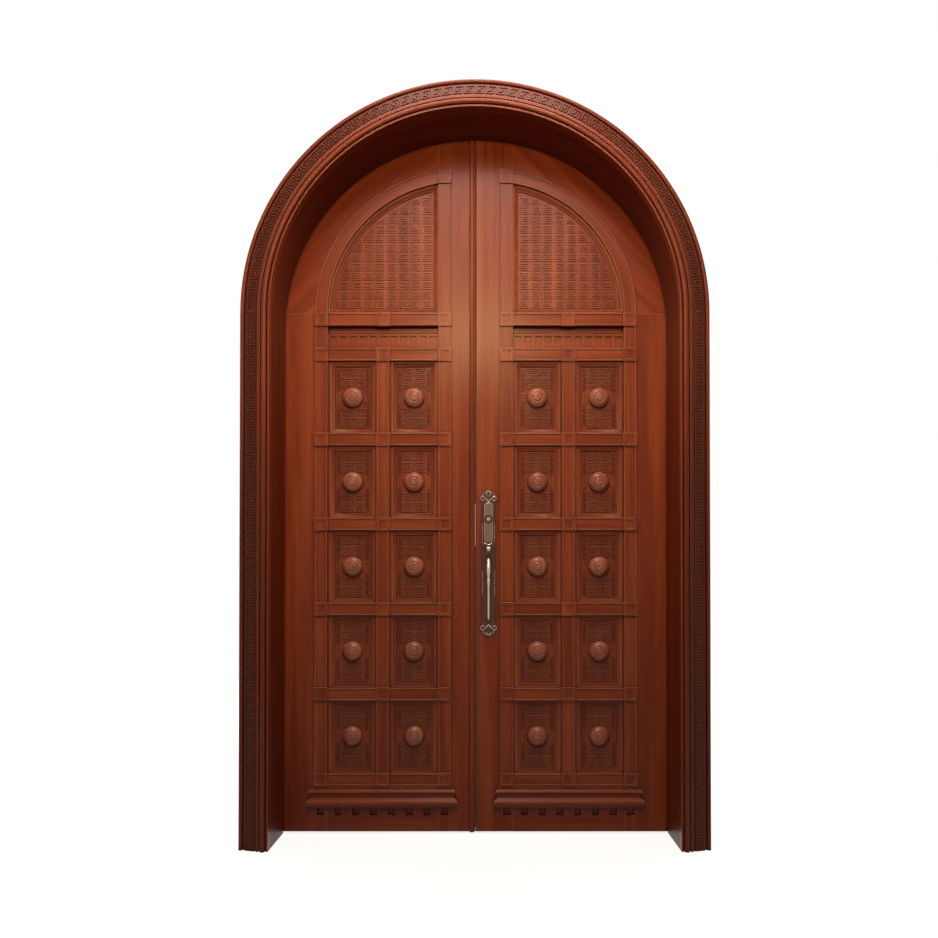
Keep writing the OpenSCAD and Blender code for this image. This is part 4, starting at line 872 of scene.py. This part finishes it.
def floor():
    """A pale studio floor: white to the eye where it is lit, a soft shadow where the door stands."""
    material, tree, surface = shader("pale_studio_floor")
    surface.inputs["Base Color"].default_value = linear("#a8a6a3")
    surface.inputs["Roughness"].default_value = 0.9
    surface.inputs["Specular IOR Level"].default_value = 0.0
    place = add(tree, "ShaderNodeNewGeometry").outputs["Position"]
    reach = add(tree, "ShaderNodeVectorMath", links={0: place}, operation="LENGTH").outputs["Value"]
    # Less glow near the door, so that its shadow shows
    glow = add(tree, "ShaderNodeMapRange", {"From Min": 0.8, "From Max": 3.2, "To Min": 0.80, "To Max": 1.0},
               {"Value": reach}).outputs[0]
    white = add(tree, "ShaderNodeEmission", {"Color": linear("#ffffff")}, {"Strength": glow})
    both = add(tree, "ShaderNodeAddShader", links={0: surface.outputs[0], 1: white.outputs[0]})
    shown = add(tree, "ShaderNodeMixShader",
                links={0: background_seen(tree), 1: surface.outputs[0], 2: both.outputs[0]})
    tree.links.new(shown.outputs[0], tree.nodes["Material Output"].inputs["Surface"])
    corners = [(x * FLOOR_HALF, y * FLOOR_HALF, 0) for x, y in ((-1, -1), (1, -1), (1, 1), (-1, 1))]
    mesh = bpy.data.meshes.new("studio_floor")
    mesh.from_pydata(corners, [], [(0, 1, 2, 3)])
    made = bpy.data.objects.new("studio_floor", mesh)
    made.location.z = -FLOOR_DROP
    bpy.context.scene.collection.objects.link(made)
    mesh.materials.append(material)


def world():
    """White to the camera and in reflections, a low even fill for the light."""
    made = bpy.data.worlds.new("studio")
    bpy.context.scene.world = made
    made.use_nodes = True
    tree = made.node_tree
    strength = add(tree, "ShaderNodeMapRange", {"To Min": 0.10, "To Max": 1.0},
                   {"Value": background_seen(tree)}).outputs[0]
    tree.nodes["Background"].inputs["Color"].default_value = linear("#ffffff")
    tree.links.new(strength, tree.nodes["Background"].inputs["Strength"])


def softbox(name, place, target, size, watts, colour, spread=180):
    """A rectangular area lamp aimed at a point, its beam narrowed to a spread in degrees."""
    lamp = bpy.data.lights.new(name, "AREA")
    lamp.shape = "RECTANGLE"
    lamp.size, lamp.size_y = size
    lamp.energy = watts
    lamp.spread = math.radians(spread)
    lamp.color = linear(colour)[:3]
    made = bpy.data.objects.new(name, lamp)
    made.location = place
    made.rotation_euler = (Vector(target) - Vector(place)).to_track_quat("-Z", "Y").to_euler()
    bpy.context.scene.collection.objects.link(made)


def camera():
    """The photograph's view: from the front, a little right of the middle, almost level, its frame raised."""
    lens = bpy.data.cameras.new("photo_view")
    lens.sensor_width = 36
    lens.lens = 30.76
    lens.shift_x = -0.02
    lens.shift_y = 0.117
    made = bpy.data.objects.new("photo_view", lens)
    made.location = (0.047, -2.93, 0.953)
    made.rotation_euler = (math.radians(90.6), 0, 0)
    bpy.context.scene.collection.objects.link(made)
    bpy.context.scene.camera = made


floor()
world()
# Lamps: place, target and size in metres, watts, colour and spread
softbox("key", (0.0, -2.9, 4.0), (0, 0.2, 2.2), (1.6, 1.4), 7, "#fff4e8", 60)
softbox("porch_ceiling", (0.0, -0.75, 3.5), (0, -0.2, 0.9), (1.2, 1.4), 46, "#fff6ec")
softbox("porch_lamp", (-0.03, -1.9, 2.59), (0, 0.2, 1.9), (0.13, 0.09), 10, "#ffd596", 110)
softbox("back_fill", (0.0, 4.5, 3.5), (0, 0.2, 1.3), (3.0, 2.0), 130, "#fffaf4")
for side in (-1, 1):
    softbox("side_fill", (side * 3.6, 1.3, 2.3), (side * 0.85, 0.1, 1.4), (1.6, 2.0), 50, "#fffaf4")
camera()
bpy.context.scene.view_settings.view_transform = "Standard"
